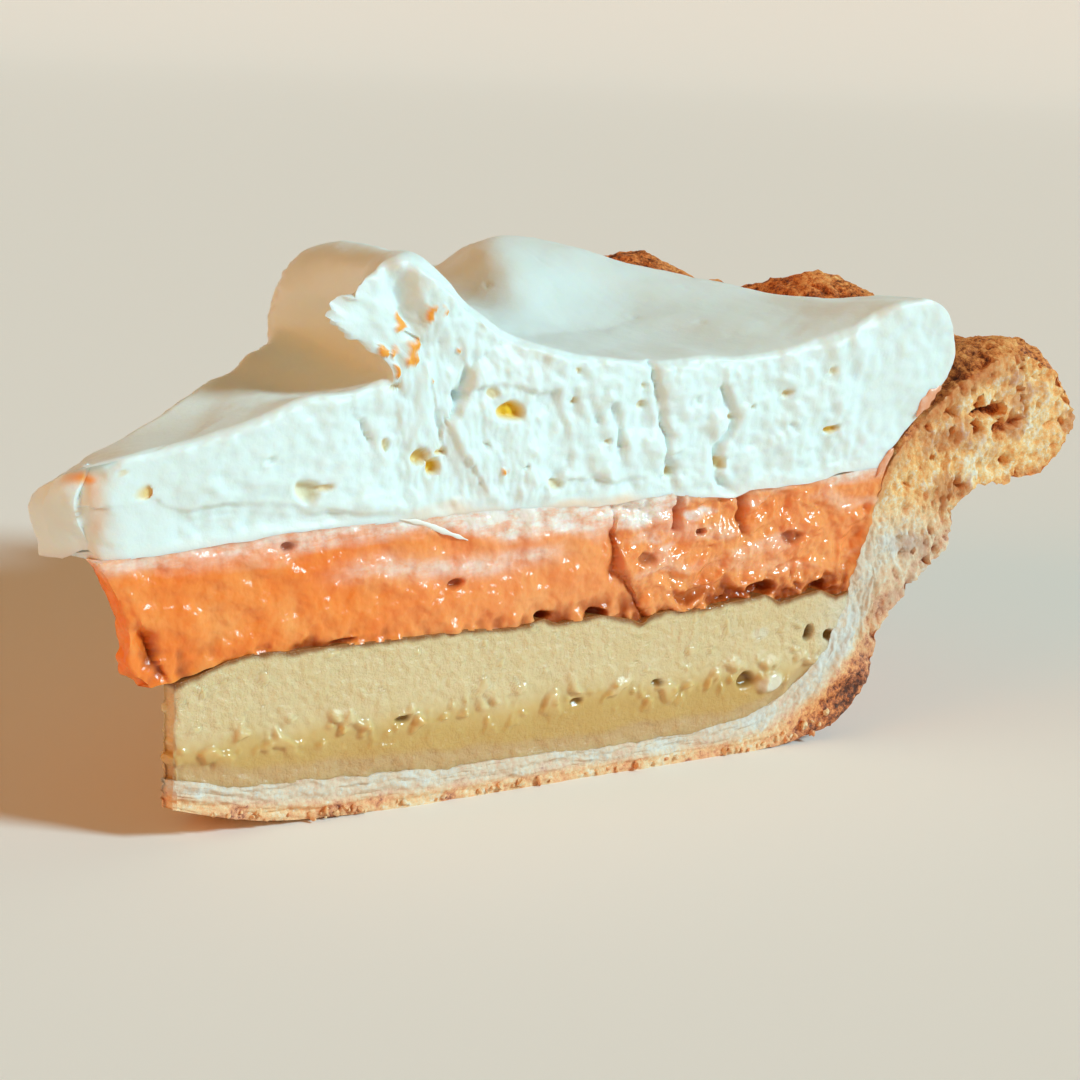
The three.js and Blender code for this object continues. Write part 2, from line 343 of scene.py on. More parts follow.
def make_piece(name, places, faces, marks, body="root"):
    """A mesh object from places in mm. marks are named numbers on its vertices."""
    used = np.unique(np.concatenate([np.ravel(f) for f in faces]))
    renumber = np.full(len(places), -1)
    renumber[used] = np.arange(len(used))
    mesh = bpy.data.meshes.new(name)
    polygons = [list(map(int, renumber[f])) for f in faces]
    mesh.from_pydata((places[used] * MM).tolist(), [], polygons)
    for mark, values in marks.items():
        layer = mesh.attributes.new(mark, "FLOAT", "POINT")
        layer.data.foreach_set("value", np.asarray(values, np.float32)[used])
    mesh.shade_smooth()
    mesh.set_sharp_from_angle(angle=math.radians(62))
    piece = bpy.data.objects.new(name, mesh)
    bpy.context.scene.collection.objects.link(piece)
    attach(piece, body)
    print(name, "has", len(used), "vertices and", len(polygons), "faces")
    return piece


# %% [markdown]
# ## Materials
# Each material is a tree of nodes. One function adds a node, sets it and links it, so a tree reads as
# a list. Colours are written as they look on a screen, in hex, and one function makes them linear.
# Where a finish changes over a piece, it follows a mark: a number on each vertex.

# %% Nodes and colours


def linear(hex_colour):
    """sRGB hex to linear RGBA: each channel is ((c + 0.055) / 1.055)^2.4, or c / 12.92 when dark."""
    parts = [int(hex_colour[i : i + 2], 16) / 255 for i in (1, 3, 5)]
    return [c / 12.92 if c <= 0.04045 else ((c + 0.055) / 1.055) ** 2.4 for c in parts] + [1.0]


def add(tree, kind, links=None, stops=None, **settings):
    """Adds a node. links gives its inputs numbers, colours, sockets, or nodes for their first output."""
    node = tree.nodes.new("ShaderNode" + kind)
    for key, value in settings.items():
        setattr(node, key, value)
    for key, value in (links or {}).items():
        if isinstance(value, bpy.types.Node):
            value = value.outputs[0]
        if isinstance(value, bpy.types.NodeSocket):
            tree.links.new(value, node.inputs[key])
        else:
            node.inputs[key].default_value = value
    if stops:
        elements = node.color_ramp.elements
        while len(elements) < len(stops):
            elements.new(0.5)
        for element, (position, hex_colour) in zip(elements, stops):
            element.position = position
            element.color = linear(hex_colour)
    return node


def new_material(name):
    """A material whose tree is empty, and that tree."""
    material = bpy.data.materials.new(name)
    material.use_nodes = True
    material.node_tree.nodes.clear()
    return material, material.node_tree


def per_mm(size):
    """A texture's scale for a pattern of this size in mm, on coordinates in metres."""
    return 1.0 / (size * MM)


def dress(material, shader, *pieces):
    """Joins the shader to the material's output, and gives the material to the pieces."""
    add(material.node_tree, "OutputMaterial", {"Surface": shader})
    for piece in pieces:
        piece.data.materials.append(material)
    print(material.name, "has", len(material.node_tree.nodes), "nodes")


# %% [markdown]
# ## Pastry
# Shortcrust is flour and fat, rolled out, pressed into a dish and crimped. Baking dries it into
# flakes and browns whatever stands free: the rim most, the wall less, and the inside of the dough
# hardly at all. It could be sculpted by hand, but a dish makes everything in it round, so the two
# skins of the pastry are profiles carried round the pie.

# %% Pastry profiles, as radius and height
CRUST_INSIDE = [
    (2.2, 6.4), (12, 4.9), (30, 3.8), (62, 3.4), (74, 4.6), (81, 8.6), (86.2, 16.5),
    (88.6, 24), (90.6, 31), (95.8, 37.2), (103, 41), (110, 42), (116.2, 40.2), (119, 37),
]
CRUST_OUTSIDE = [
    (2.2, 3.4), (12, 0.9), (25, 0), (74, 0), (84, 1.8), (89.6, 6.5), (91.6, 13),
    (96, 17.6), (100.6, 21.6), (101.6, 26), (104.5, 27.9), (110, 27.7), (115.6, 28.6), (118.8, 32.2),
]
FLUTE_PITCH = math.radians(14)
FIRST_FLUTE = math.radians(3.5)
FLUTE_HEIGHT = 3.2
FLUTE_DEPTH = 1.5
RIM_RISE = 4.6
RIM_BULGE = 1.4

CRUST_CELLS = (440, 104, 34)
FLOOR_CELLS = 236  # of the cells along, these lie under the filling
FLOOR_SHARE = 0.56  # and they take this share of the profile's length


def crust_places(along, across, up):
    """Two profiles, mixed by `up` and carried round the pie. The rim's crimps are a cosine."""
    outside = even_line(CRUST_OUTSIDE, along)
    inside = even_line(CRUST_INSIDE, along)
    round_end = RIM_BULGE * smooth(along, 0.93, 1.0) * 4 * up * (1 - up)
    radius = blend(outside[:, 0], inside[:, 0], up) + round_end
    height = blend(np.maximum(outside[:, 1], 0), inside[:, 1], up)
    flute = np.cos((across * SLICE_ANGLE - FIRST_FLUTE) / FLUTE_PITCH * 2 * math.pi)
    rim = smooth(radius, 99, 112)
    rise = RIM_RISE * smooth(across, 0.1, 0.36) * smooth(across, 1.0, 0.84)
    height = height + rim * (rise + FLUTE_HEIGHT * (0.5 + 0.5 * flute)) * blend(0.45, 1, up)
    radius = radius + rim * FLUTE_DEPTH * (flute - 0.3) * smooth(radius, 104, 118)
    return in_slice(radius, across, height), radius, height


def wander(places, radius, height, share):
    """The filling sank into the pastry unevenly: up from its floor, and inwards from its wall."""
    leaning = smooth(radius, 74, 86)
    amount = blend(0.45, 0.9, leaning) * lumps(places, 8, 5, 0.65, 201) * share * smooth(height, 31, 28)
    inwards = (CENTRE - places * [1, 1, 0]) / np.maximum(radius, 1)[:, None]
    moved = inwards * leaning[:, None]
    moved[:, 2] = 1 - leaning
    return moved * (amount * smooth(radius, 3, 9))[:, None]


# %% [markdown]
# The grid gives the rim and the wall small cells, because they show, and the floor long ones.

# %% Pastry grid
index, quads, long = block_faces(CRUST_CELLS, FLOOR_CELLS, FLOOR_CELLS)
along_knots = np.concatenate([
    np.linspace(0, FLOOR_SHARE, FLOOR_CELLS, endpoint=False),
    np.linspace(FLOOR_SHARE, 1, CRUST_CELLS[0] - FLOOR_CELLS + 1),
])
along = along_knots[index[:, 0]]
across = index[:, 1] / CRUST_CELLS[1]
up = index[:, 2] / CRUST_CELLS[2]
base, radius, height = crust_places(along, across, up)
base = base + wander(base, radius, height, smooth(up, 0.4, 1.0))
normals = vertex_normals(base, quads)

on_cut = (index[:, 1] == 0) | (index[:, 1] == CRUST_CELLS[1])
on_inside = index[:, 2] == CRUST_CELLS[2]
print("the pastry's grid has", len(index), "places on its skin")

# %% [markdown]
# Crumbs, blisters, flakes and pits are carved along the skin's normals. A texture could fake them, but
# real relief keeps its outline and its shadows from every side. Crumbs are rounded and meet in
# creases, so they are a noise folded at zero. Rolled dough splits into layers, which show on the cut
# as a noise that is long along the profile and short through it. Under the filling there is no relief.

# %% Pastry relief
PROFILE_LENGTH = 165.0
THICKNESS = 6.0
RIM_HOLLOW = (104.5, 37.5)  # radius and height of the open middle of the rim


def puffs(places, size, seed):
    """Rounded crumbs with creases between them: 0.35 minus the size of a noise."""
    return 0.35 - np.abs(noise(places, size, seed))


layer_places = columns(
    along * PROFILE_LENGTH / 4.5 + 0.5 * noise(base, 3, 4),
    up * THICKNESS / 1.1 + 0.8 * noise(base, 5, 5),
    across * 9,
)
layers = noise(layer_places, 1.0, 21)
crumbs = 0.4 * puffs(base, 3.6, 22) + 0.6 * puffs(base, 1.8, 23) + 0.7 * puffs(base, 0.9, 24)
blisters, _, blister_value = cells(base, 5.5, 8)
cavities = lumps(base * [1, 1, 1.3], 3.2, 3, 0.6, 15)
in_rim = hill(np.hypot((radius - RIM_HOLLOW[0]) * 0.7, height - RIM_HOLLOW[1]), 0, 4.5)
pits = smooth(cavities + 0.42 * in_rim, 0.45, 0.85) * np.maximum(in_rim, 0.5)
free = np.where(on_inside & ~on_cut, smooth(radius, 96, 100), 1.0)
free = free * np.maximum(smooth(height, 0.15, 1.6), 0.5 * on_cut)
beside_filling = on_cut * smooth(up, 0.86, 1.0) * smooth(height, 33, 29)
free = free * (1 - 0.9 * beside_filling)
by_rim = smooth(radius, 86, 99)
craggy = blend(0.5, 1.0, smooth(radius, 80, 96))
crags = craggy * (0.75 * lumps(base, 8, 3, 0.5, 1) + blend(0.5, 1.0, by_rim) * crumbs)
crags += 0.8 * craggy * (0.5 - blisters) * (blister_value > 0.45) * ~on_cut
crags -= by_rim * blend(1.0, 2.2, on_cut) * pits
crags += on_cut * (0.35 * layers + 0.25 * puffs(layer_places, 0.6, 25)) * blend(1.0, 0.4, by_rim)
final = base + normals * (np.clip(crags, -2.0, 1.5) * free)[:, None]
final[:, 2] = np.maximum(final[:, 2], 0.0)
print("pastry relief in mm:", crags.min().round(2), "to", crags.max().round(2))

# %% [markdown]
# How far each place has browned is one number, the toast. It also carries painted shade: creases between
# crumbs and the pits are made darker, and the crumbs' tops lighter. On the cuts the dough is floury
# inside and golden at its skin, and above the pudding it has dried right through. The heel, where the
# wall meets the floor, lay against the hot dish and is darkest.

# %% Pastry browning and piece
through = smooth(height, 21, 29) * smooth(radius, 84, 89)
outer_skin = smooth(up, 0.42, 0.16)
floor_toast = blend(0.1, 0.26, smooth(up + 0.35 * lumps(base, 4, 3, 0.6, 88), 0.66, 0.4))
floor_toast += 0.3 * smooth(lumps(base, 3, 3, 0.6, 89), 0.15, 0.5) * smooth(up, 0.6, 0.1)
low_toast = blend(floor_toast, blend(0.0, 0.2, outer_skin), smooth(radius, 76, 84))
heel = hill(np.hypot((radius - 86) * 0.8, (height - 4.5) * 0.7), 0, 7)
cut_heel = heel * smooth(up, 0.62, 0.3) * smooth(radius, 74, 82)
rim_toast = 0.15 + 0.16 * smooth(up, 0.84, 1.0) + 0.2 * smooth(up, 0.14, 0.0)
cut_toast = blend(low_toast, rim_toast, through) + 0.6 * cut_heel
top_of_rim = smooth(radius, 96, 106) * smooth(height, 28, 40)
skin_toast = 0.52 + 0.08 * top_of_rim + 0.1 * smooth(across, 0.5, 0.9) + 0.26 * heel * ~on_inside
opened = on_cut | (index[:, 0] == 0)
toast_and_shade = np.where(opened, cut_toast, skin_toast) + 0.16 * lumps(base, 7, 3, 0.6, 41)
# Painted shade and light: creases between crumbs and the pits are coloured darker, crumb tops lighter.
toast_and_shade -= 0.36 * (crumbs - 0.35) * blend(0.6, 1.0, by_rim)
toast_and_shade += by_rim * blend(0.3, 0.8, on_cut) * pits
ruddy_places = lumps(base, 6, 4, 0.65, 77)
ruddy = by_rim * on_cut * smooth(ruddy_places, 0.1, 0.55)
ruddy = np.maximum(ruddy, on_cut * through * smooth(up, 0.8, 0.97) * smooth(radius, 112, 104))
ruddy = np.maximum(ruddy, on_cut * in_rim * smooth(ruddy_places, -0.3, 0.3))

floury_skin = blend(0.35, 0.75, smooth(radius, 80, 88))
floury = opened * (1 - through) * blend(floury_skin, 1.0, smooth(up, 0.25, 0.6)) * (1 - 0.9 * cut_heel)
low_edge = (index[:, 1] == 0) & (up < 0.22) & (radius > 5) & (radius < 84)
crumb_seats = final[low_edge]  # where crumbs will cling, at the foot of the near cut
crust_piece = make_piece("baked_pastry", final, list(quads) + long, {
    "toast_and_shade": toast_and_shade, "ruddy": ruddy, "floury": floury,
})
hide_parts("crust")

# %% [markdown]
# Baked pastry is matt and granular. Its colour runs from raw flour to dark toast, so one number per
# vertex, the toast with its painted shade, picks the colour from a ramp. Where fat has fried the rim it
# shines a little.

# %% Pastry material
pastry, tree = new_material("baked shortcrust pastry")
where = add(tree, "TexCoord").outputs["Object"]
marks = {
    name: add(tree, "Attribute", attribute_name=name).outputs["Fac"]
    for name in ("toast_and_shade", "ruddy", "floury")
}
grain = add(tree, "TexNoise", {"Vector": where, "Scale": per_mm(0.8), "Detail": 7.0, "Roughness": 0.85})
# This grain also raises the bump, so the speckle paints its peaks lighter and its dips darker: partly the
# pastry's own flecks, partly painted shade.
speckle_and_shade = add(tree, "MapRange", {0: grain, 1: 0.32, 2: 0.68, 3: 0.46, 4: -0.36})
contrast = add(tree, "MapRange", {0: marks["toast_and_shade"], 1: 0.0, 2: 0.3, 3: 0.5, 4: 1.0})
level = add(tree, "Math", {0: speckle_and_shade, 1: contrast, 2: marks["toast_and_shade"]}, operation="MULTIPLY_ADD")
toasted_and_shaded = add(tree, "ValToRGB", {"Fac": level}, stops=[
    (0.0, "#f8f1e2"), (0.2, "#ffd697"), (0.42, "#ffba6e"),
    (0.6, "#f89c52"), (0.8, "#c8682e"), (1.0, "#55260f"),
])
ruddy_half = add(tree, "Math", {0: marks["ruddy"], 1: 0.65}, operation="MULTIPLY")
browned = add(tree, "Mix", {0: ruddy_half, 6: toasted_and_shaded, 7: linear("#d07c48")}, data_type="RGBA").outputs[2]
paleness = add(tree, "MapRange", {0: marks["floury"], 3: 1.0, 4: 0.56})
shade = add(tree, "MapRange", {0: marks["floury"], 3: 1.0, 4: 0.82})
dusted = add(tree, "HueSaturation", {"Color": browned, "Saturation": paleness, "Value": shade})
crumble = add(tree, "TexVoronoi", {"Vector": where, "Scale": per_mm(0.7)})
rough = add(tree, "Math", {0: grain, 1: crumble}, operation="SUBTRACT")
crumb = add(tree, "Bump", {"Height": rough, "Strength": 0.7, "Distance": 0.25 * MM})
gloss = add(tree, "MapRange", {0: level, 1: 0.4, 2: 0.9, 3: 0.8, 4: 0.45})
shader = add(tree, "BsdfPrincipled", {
    "Base Color": dusted, "Roughness": gloss, "IOR": 1.45,
    "Normal": crumb,
})
dress(pastry, shader, crust_piece)

# %% [markdown]
# ## Custard and pudding
# Both fillings set in the crust, so their outer ends lie against its wall and their tops are level.
# Only the two cuts and the point show. A knife leaves set custard smooth with a fine grain, while the
# softer pudding tears and bulges over it.

# %% Filling shapes
GAP = -0.12  # the layers reach a little into each other, so no line of shade shows between them
CUSTARD_TOP = 17.5
CUSTARD_CORNER = 80.0
POINT_SLUMP = 1.7
ORANGE_TOP = 30.0
ORANGE_LIFT = 0.9
ORANGE_LEAN = (2.4, 7.8)
CUSTARD_POINT, ORANGE_POINT = 2.1, 2.2  # radii of the blunt points
WALL_FOOT, RIM_FOOT = 62, 103  # radii where the pastry's wall rises, and where it becomes the rim

wall_line = even_line(CRUST_INSIDE, np.linspace(0, 1, 900))
wall_part = wall_line[wall_line[:, 0] <= RIM_FOOT]
rising = wall_part[wall_part[:, 0] > WALL_FOOT]


def wall_radius(height):
    """The radius of the pastry's inside at a height, on its rising part."""
    return np.interp(height, rising[:, 1], rising[:, 0])


def floor_height(radius):
    """The height of the pastry's inside at a radius."""
    return np.interp(radius, wall_part[:, 0], wall_part[:, 1])


def custard_top(radius):
    """Level, but for a slump at the point that dies away as a bell."""
    return CUSTARD_TOP - POINT_SLUMP * hill(radius, 0, 5)


def orange_lift(radius):
    """The pudding and the cream on it stand a little higher beside the pastry."""
    return ORANGE_LIFT * smooth(radius, 80, 88)


def filling(along, up, point_radius, wall_span, bottom, top):
    """Mixes point and wall by `along`, and bottom and top by `up`."""
    def radius_at(share):
        wall = wall_radius(blend(wall_span[0], wall_span[1], share)) - GAP
        return blend(point_radius, wall, along)

    return radius_at(up), blend(bottom(radius_at(0.0)), top(radius_at(1.0)), up)


print("the wall is", wall_radius(CUSTARD_TOP).round(1), "mm from the centre at the custard's top")


# %% [markdown]
# The layers don't meet in straight lines. The pudding ran down over the custard here and there, and the
# cream was drawn down at the point and up beside the crust, so each seam is a line of its own. The
# faces on both sides of a seam follow the same line, which keeps them closed without a join.

# %% Seams, as distance along the near cut and height
SEAM_LOW = [
    (-12, 15.6), (1.2, 15.8), (3, 17.0), (6.4, 17.7), (10, 18.3), (19, 18.1), (27, 18.1), (35, 18.2),
    (41, 17.8), (44.4, 18.4), (46.5, 17.7), (51.4, 18.1), (54.3, 17.6), (57, 16.7), (59, 17.6), (65, 17.5),
    (71, 17.9), (74, 18.2), (76.3, 17.2), (82, 18.1), (84.5, 17.0), (87, 17.6), (90, 18.0),
]
SEAM_HIGH = [
    (-12, 30.3), (-10.5, 30.2), (-9.2, 28.9), (-8.2, 29.8), (-7, 29.7), (-5.4, 28.6), (0, 29.0),
    (4.6, 29.3), (15, 30.1), (27, 30.2), (38, 30.5), (51, 30.0), (60, 30.6), (64, 30.0), (69, 29.6),
    (71, 30.3), (78, 30.4), (84, 31.0), (88, 31.6), (95, 31.8),
]


def from_point(places, across):
    """How far along its own cut a place lies, counted from the pie's centre."""
    near = (places - CENTRE) @ NEAR_WAY
    far = (places - CENTRE) @ FAR_WAY
    return blend(near, far, across)


def seam_shift(forward, places, line, level, seed):
    """How far a seam lies above its level, with a small ripple."""
    return height_along(forward, line) - level + 0.16 * noise(places * [1, 1, 0.0], 2.2, seed)


def shown_faces(along, across):
    """True on the point and the two cuts of a filling. Its other faces are hidden and stay plain."""
    return (across == 0) | (across == 1) | (along == 0)


def held(along):
    """1, but falling where the filling sticks to the pastry's wall, because it can't bulge there."""
    return 1 - 0.85 * smooth(along, 0.985, 1.0)


# %% [markdown]
# The custard is the lower filling. Its block has fine cells along and up, where the cuts show, and few
# across. Its seam with the pudding is pushed up and down by the line above.

# %% Custard grid
CUSTARD_CELLS = (360, 14, 64)
index, quads, long = block_faces(CUSTARD_CELLS, CUSTARD_CELLS[0], CUSTARD_CELLS[0])
along, across, up = (index / CUSTARD_CELLS).T
custard_span = (floor_height(CUSTARD_CORNER), CUSTARD_TOP)
radius, height = filling(
    along, up, CUSTARD_POINT, custard_span, lambda r: floor_height(r) + GAP, custard_top
)
base = in_slice(radius, across, height)
forward = from_point(base, across)
low_shift = seam_shift(forward, base, SEAM_LOW, CUSTARD_TOP, 101) * smooth(radius, 3, 8)
base[:, 2] += low_shift * smooth(height, 12, CUSTARD_TOP)
to_pastry = np.minimum(height - floor_height(radius), wall_radius(height) - radius)
base += wander(base, radius, height, smooth(to_pastry, 4, 0))
height = base[:, 2]
normals = vertex_normals(base, quads)
near_cut = across == 0
x, z = radius + 0.5 * noise(base, 3, 7), height + 0.3 * noise(base, 3, 8)
print("custard reaches from", base.min(0).round(1), "to", base.max(0).round(1))

# %% [markdown]
# The dense upper part is finely grained. Below it the custard is wetter and smoother, with a row of
# dimples and beads where the two meet, and a rough band where it soaked into the crust. A bump texture
# could draw the beads, but only real relief gives each its own small light. The few bubbles that the
# knife opened are rows of a table, because each has a place of its own.

# %% Custard relief and piece
meeting = 9.6 + 0.8 * noise(base * [1, 1, 0], 9, 16)
dense = smooth(height, meeting - 2.6, meeting + 2.2)
soak_top = floor_height(radius) + 1.7 + 0.8 * noise(base * [1, 1, 0], 5, 34)
soaked = smooth(height, soak_top + 0.6, soak_top - 0.6) * smooth(radius, 86, 78)
depth = 0.18 * lumps(base, 7, 2, 0.5, 3) + dense * 0.11 * noise(base, 0.8, 13)
dimples, _, dimple_value = cells(base * [1, 1, 1.25], 1.7, 27)
beads = hill(height, meeting - 0.3, 1.9) * smooth(lumps(base, 1.9, 2, 0.5, 28), 0.05, 0.5)
pimples = dense * smooth(noise(base, 1.5, 29), 0.42, 0.7)
dimpled = smooth(0.4 - dimples, 0, 0.3)
depth += 0.62 * beads + 0.3 * pimples
depth += hill(height, meeting - 0.4, 1.8) * 0.3 * dimpled * (dimple_value > 0.6)
depth -= hill(height, meeting + 0.6, 1.4) * 0.22 * dimpled * (dimple_value < 0.3)
depth += soaked * (0.2 * lumps(base, 2.4, 3, 0.6, 33) - 0.15)
# Opened bubbles: distance along the cut, height, half width, flatness and depth.
CUSTARD_HOLES = [
    (80.8, 13.0, 0.75, 1.2, 1.5), (84.2, 12.3, 1.1, 0.7, 1.3), (87.2, 14.6, 0.9, 0.8, 1.0),
    (72.1, 8.5, 1.3, 0.8, 0.8), (27.5, 9.6, 0.9, 0.5, 0.5), (49.0, 8.8, 0.8, 0.5, 0.4),
    (60.0, 9.6, 0.9, 0.4, 0.4),
]
# The insides of the opened bubbles are painted darker, as shade.
hole_depths, hole_shade_mark = open_bubbles(x, z, CUSTARD_HOLES, near_cut, np.ones(len(CUSTARD_HOLES)))
depth -= hole_depths
curd = bubble(x, z, 75.3, 7.9, 2.0, 0.6) * near_cut
depth += 0.8 * curd * (1 - 0.3 * curd)
pale = np.maximum(curd, 0.6 * bubble(x, z, 73.8, 13.7, 1.2, 0.7) * near_cut)
pale = np.maximum(pale, 0.55 * smooth(radius + 1.5 * noise(base, 3, 9), 80, 86))
rounded = hill(along, 0.0, 0.004) * 0.25
final = base + normals * ((depth - rounded) * held(along) * shown_faces(along, across))[:, None]
fringe = smooth(height - low_shift - custard_top(radius) + 0.25 * noise(base, 1.6, 44), -0.75, -0.1)
custard_piece = make_piece("baked_custard", final, list(quads) + long, {
    "dense": dense, "hole_shade": hole_shade_mark, "pale": pale, "soaked": soaked, "fringe": fringe,
    "beaded": np.maximum(hill(height, meeting - 0.6, 2.2), smooth(pimples, 0.0, 0.3)),
})
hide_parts("custard")

# %% [markdown]
# Baked custard is egg and cream set to a gel. Light goes into it, so it gets subsurface scattering.
# Its dense part is pale and matt. The wet part is deeper in colour and shines, because water fills its
# pores, and so do the small beads that stand where the two meet.

# %% Custard material
custard, tree = new_material("baked egg custard")
where = add(tree, "TexCoord").outputs["Object"]
marks = {
    name: add(tree, "Attribute", attribute_name=name).outputs["Fac"]
    for name in ("dense", "hole_shade", "pale", "soaked", "fringe", "beaded")
}
drift = add(tree, "TexNoise", {"Vector": where, "Scale": per_mm(6), "Detail": 4.0, "Roughness": 0.6})
shift = add(tree, "MapRange", {0: drift, 1: 0.3, 2: 0.7, 3: -0.2, 4: 0.2})
level = add(tree, "Math", {0: marks["dense"], 1: shift}, operation="ADD")
colour = add(tree, "ValToRGB", {"Fac": level}, stops=[
    (0.0, "#cfa664"), (0.35, "#d9b475"), (0.7, "#dfc391"), (1.0, "#e3ca9d"),
])
# The hole mark is painted shade inside the opened bubbles.
for mark, hex_colour in (
    ("soaked", "#cfa877"), ("pale", "#e6dac4"), ("fringe", "#96602f"), ("hole_shade", "#8f6228"),
):
    colour = add(tree, "Mix", {0: marks[mark], 6: colour, 7: linear(hex_colour)}, data_type="RGBA").outputs[2]
grain = add(tree, "TexNoise", {"Vector": where, "Scale": per_mm(0.8), "Detail": 4.0, "Roughness": 0.65})
# The beads are drops of water, so the fine grain fades out on them.
grainy = add(tree, "MapRange", {0: marks["beaded"], 3: 1.0, 4: 0.12})
relief = add(tree, "Math", {0: grain, 1: grainy}, operation="MULTIPLY")
pores = add(tree, "Bump", {"Height": relief, "Strength": 0.9, "Distance": 0.33 * MM})
wet = add(tree, "MapRange", {0: marks["beaded"], 3: 0.26, 4: 0.14})
shader = add(tree, "BsdfPrincipled", {
    "Base Color": colour, "Roughness": wet, "IOR": 1.45,
    "Subsurface Weight": 0.4, "Subsurface Radius": (1.0, 0.65, 0.32), "Subsurface Scale": 1.6 * MM,
    "Normal": pores,
})
dress(custard, shader, custard_piece)

# %% [markdown]
# The pudding lies on the custard. It is softer, so it slumped forward at the point, more at its top
# than at its foot. That lean is a bell that dies away behind the point.

# %% Pudding grid
PUDDING_CELLS = (400, 16, 72)
index, quads, long = block_faces(PUDDING_CELLS, PUDDING_CELLS[0], PUDDING_CELLS[0])
along, across, up = (index / PUDDING_CELLS).T
pudding_span = (CUSTARD_TOP + GAP, ORANGE_TOP + ORANGE_LIFT)
radius, height = filling(
    along, up, ORANGE_POINT, pudding_span,
    lambda r: custard_top(r) + GAP,
    lambda r: ORANGE_TOP - GAP + orange_lift(r),
)
lean = blend(*ORANGE_LEAN, up) + 1.3 * hill(height, 18.5, 1.8)
base = in_slice(radius, across, height) - NEAR_WAY * (lean * hill(radius, ORANGE_POINT, 9))[:, None]
forward = from_point(base, across)
low_shift = seam_shift(forward, base, SEAM_LOW, CUSTARD_TOP, 101) * smooth(radius, 3, 8)
high_shift = seam_shift(forward, base, SEAM_HIGH, ORANGE_TOP + orange_lift(radius), 102)
base[:, 2] += low_shift * smooth(height, 23, CUSTARD_TOP) + high_shift * smooth(height, 24, 29.9)
base += wander(base, radius, height, smooth(wall_radius(height) - radius, 4, 0))
height = base[:, 2]
normals = vertex_normals(base, quads)
near_cut = across == 0
print("pudding reaches from", base.min(0).round(1), "to", base.max(0).round(1))

# %% [markdown]
# Left of a step the knife smoothed the pudding. Right of it the pudding tore, so it stands in knobs
# between level scrape marks, and its foot hangs down in drops. The knobs are cells of unlike height,
# and the cells are warped by another noise, or their straight borders would show.

# %% Pudding relief
warped = base + 1.3 * columns(*(noise(base, 5, seed) for seed in (61, 62, 63)))
x, z = forward + 0.5 * noise(base, 2.4, 64), height + 0.4 * noise(base, 2.4, 65)
step_x = 53.0 + (27 - z) * 0.4
ragged = smooth(x, step_x, step_x + 1.2)
hem = smooth(height, 21.2, 18.2)
knobs, knob_second, knob_value = cells(warped * [1, 1, 1.3], 4.6, 17)
scrape = noise(warped * [0.2, 0.2, 1.0], 1.7, 72)
depth = 0.34 * lumps(base, 11, 3, 0.5, 2) + 0.36 * (1 - ragged) * lumps(base, 2.8, 3, 0.55, 4)
depth += ragged * ((knob_value - 0.5) * smooth(knob_second - knobs, 0.0, 0.25) - 0.3)
depth += ragged * (0.34 * scrape + 0.5 * lumps(warped, 2.8, 4, 0.6, 71))
drops, _, drop_value = cells(base * [1, 1, 0.8], 2.3, 93)
dripping = 0.6 * smooth(0.62 - drops, 0, 0.5) * (drop_value > 0.25) - 0.25
depth += hem * dripping * blend(0.55, 1, smooth(x, 20, 40))
# Tears: lines, half width and depth.
GROOVES = [
    ([(61.2, 31.0), (61.6, 26.8)], 0.55, 1.3), ([(70.0, 31.0), (70.8, 26.0)], 0.6, 1.3),
    ([(53.3, 26.8), (53.6, 22.8), (56.5, 19.4)], 0.7, 0.5), ([(-0.6, 21.0), (0.2, 19.4)], 0.9, 0.9),
]
# Gaps and opened bubbles, painted darker inside as shade: distance along the cut, height, half width,
# flatness and depth.
PUDDING_HOLES = [
    (33.3, 23.3, 1.1, 0.5, 1.0), (14.3, 28.8, 1.0, 0.5, 0.7), (44.4, 18.6, 1.1, 0.6, 1.5),
    (51.4, 18.2, 1.4, 0.45, 1.5), (73.6, 18.9, 2.2, 0.45, 1.8), (82.2, 18.4, 1.4, 0.5, 1.6),
    (64.7, 26.0, 0.9, 0.6, 1.1), (20.5, 18.5, 1.6, 0.2, 0.5), (68.5, 18.1, 0.8, 0.5, 0.8),
    (77.5, 24.6, 1.6, 0.5, 0.6), (57.5, 23.5, 1.3, 0.6, 0.5),
]
# The tears' grooves are painted darker as shade, like the holes, and deeper holes get more of it.
groove_shade_mark = np.zeros(len(base))
for line, width, groove_depth in GROOVES:
    away, side = tear(x, z, line)
    cut = hill(away, 0, width) * near_cut
    depth = depth - groove_depth * cut + 0.3 * side * hill(away, 0, 3) * near_cut * (width > 0.65)
    groove_shade_mark = np.maximum(groove_shade_mark, 0.5 * cut)
deeper_holes_more_shade = blend(0.7, 1.0, smooth(np.array(PUDDING_HOLES)[:, 4], 1.0, 1.5))
hole_depths, hole_shade_mark = open_bubbles(x, z, PUDDING_HOLES, near_cut, deeper_holes_more_shade)
depth = np.clip(depth - hole_depths, -2.2, 1.0) * blend(0.4, 1.0, smooth(height, 30.6, 29.2)) * held(along)
final = base + normals * (depth * shown_faces(along, across))[:, None]
print("pudding relief in mm:", depth.min().round(2), "to", depth.max().round(2))

# %% [markdown]
# The knife dragged cream down over the pudding's upper edge. That is a mark, the smear, which is 1 at
# the seam and dies away below a line of its own. Noise breaks its border, and a few patches are laid
# where more cream was left.

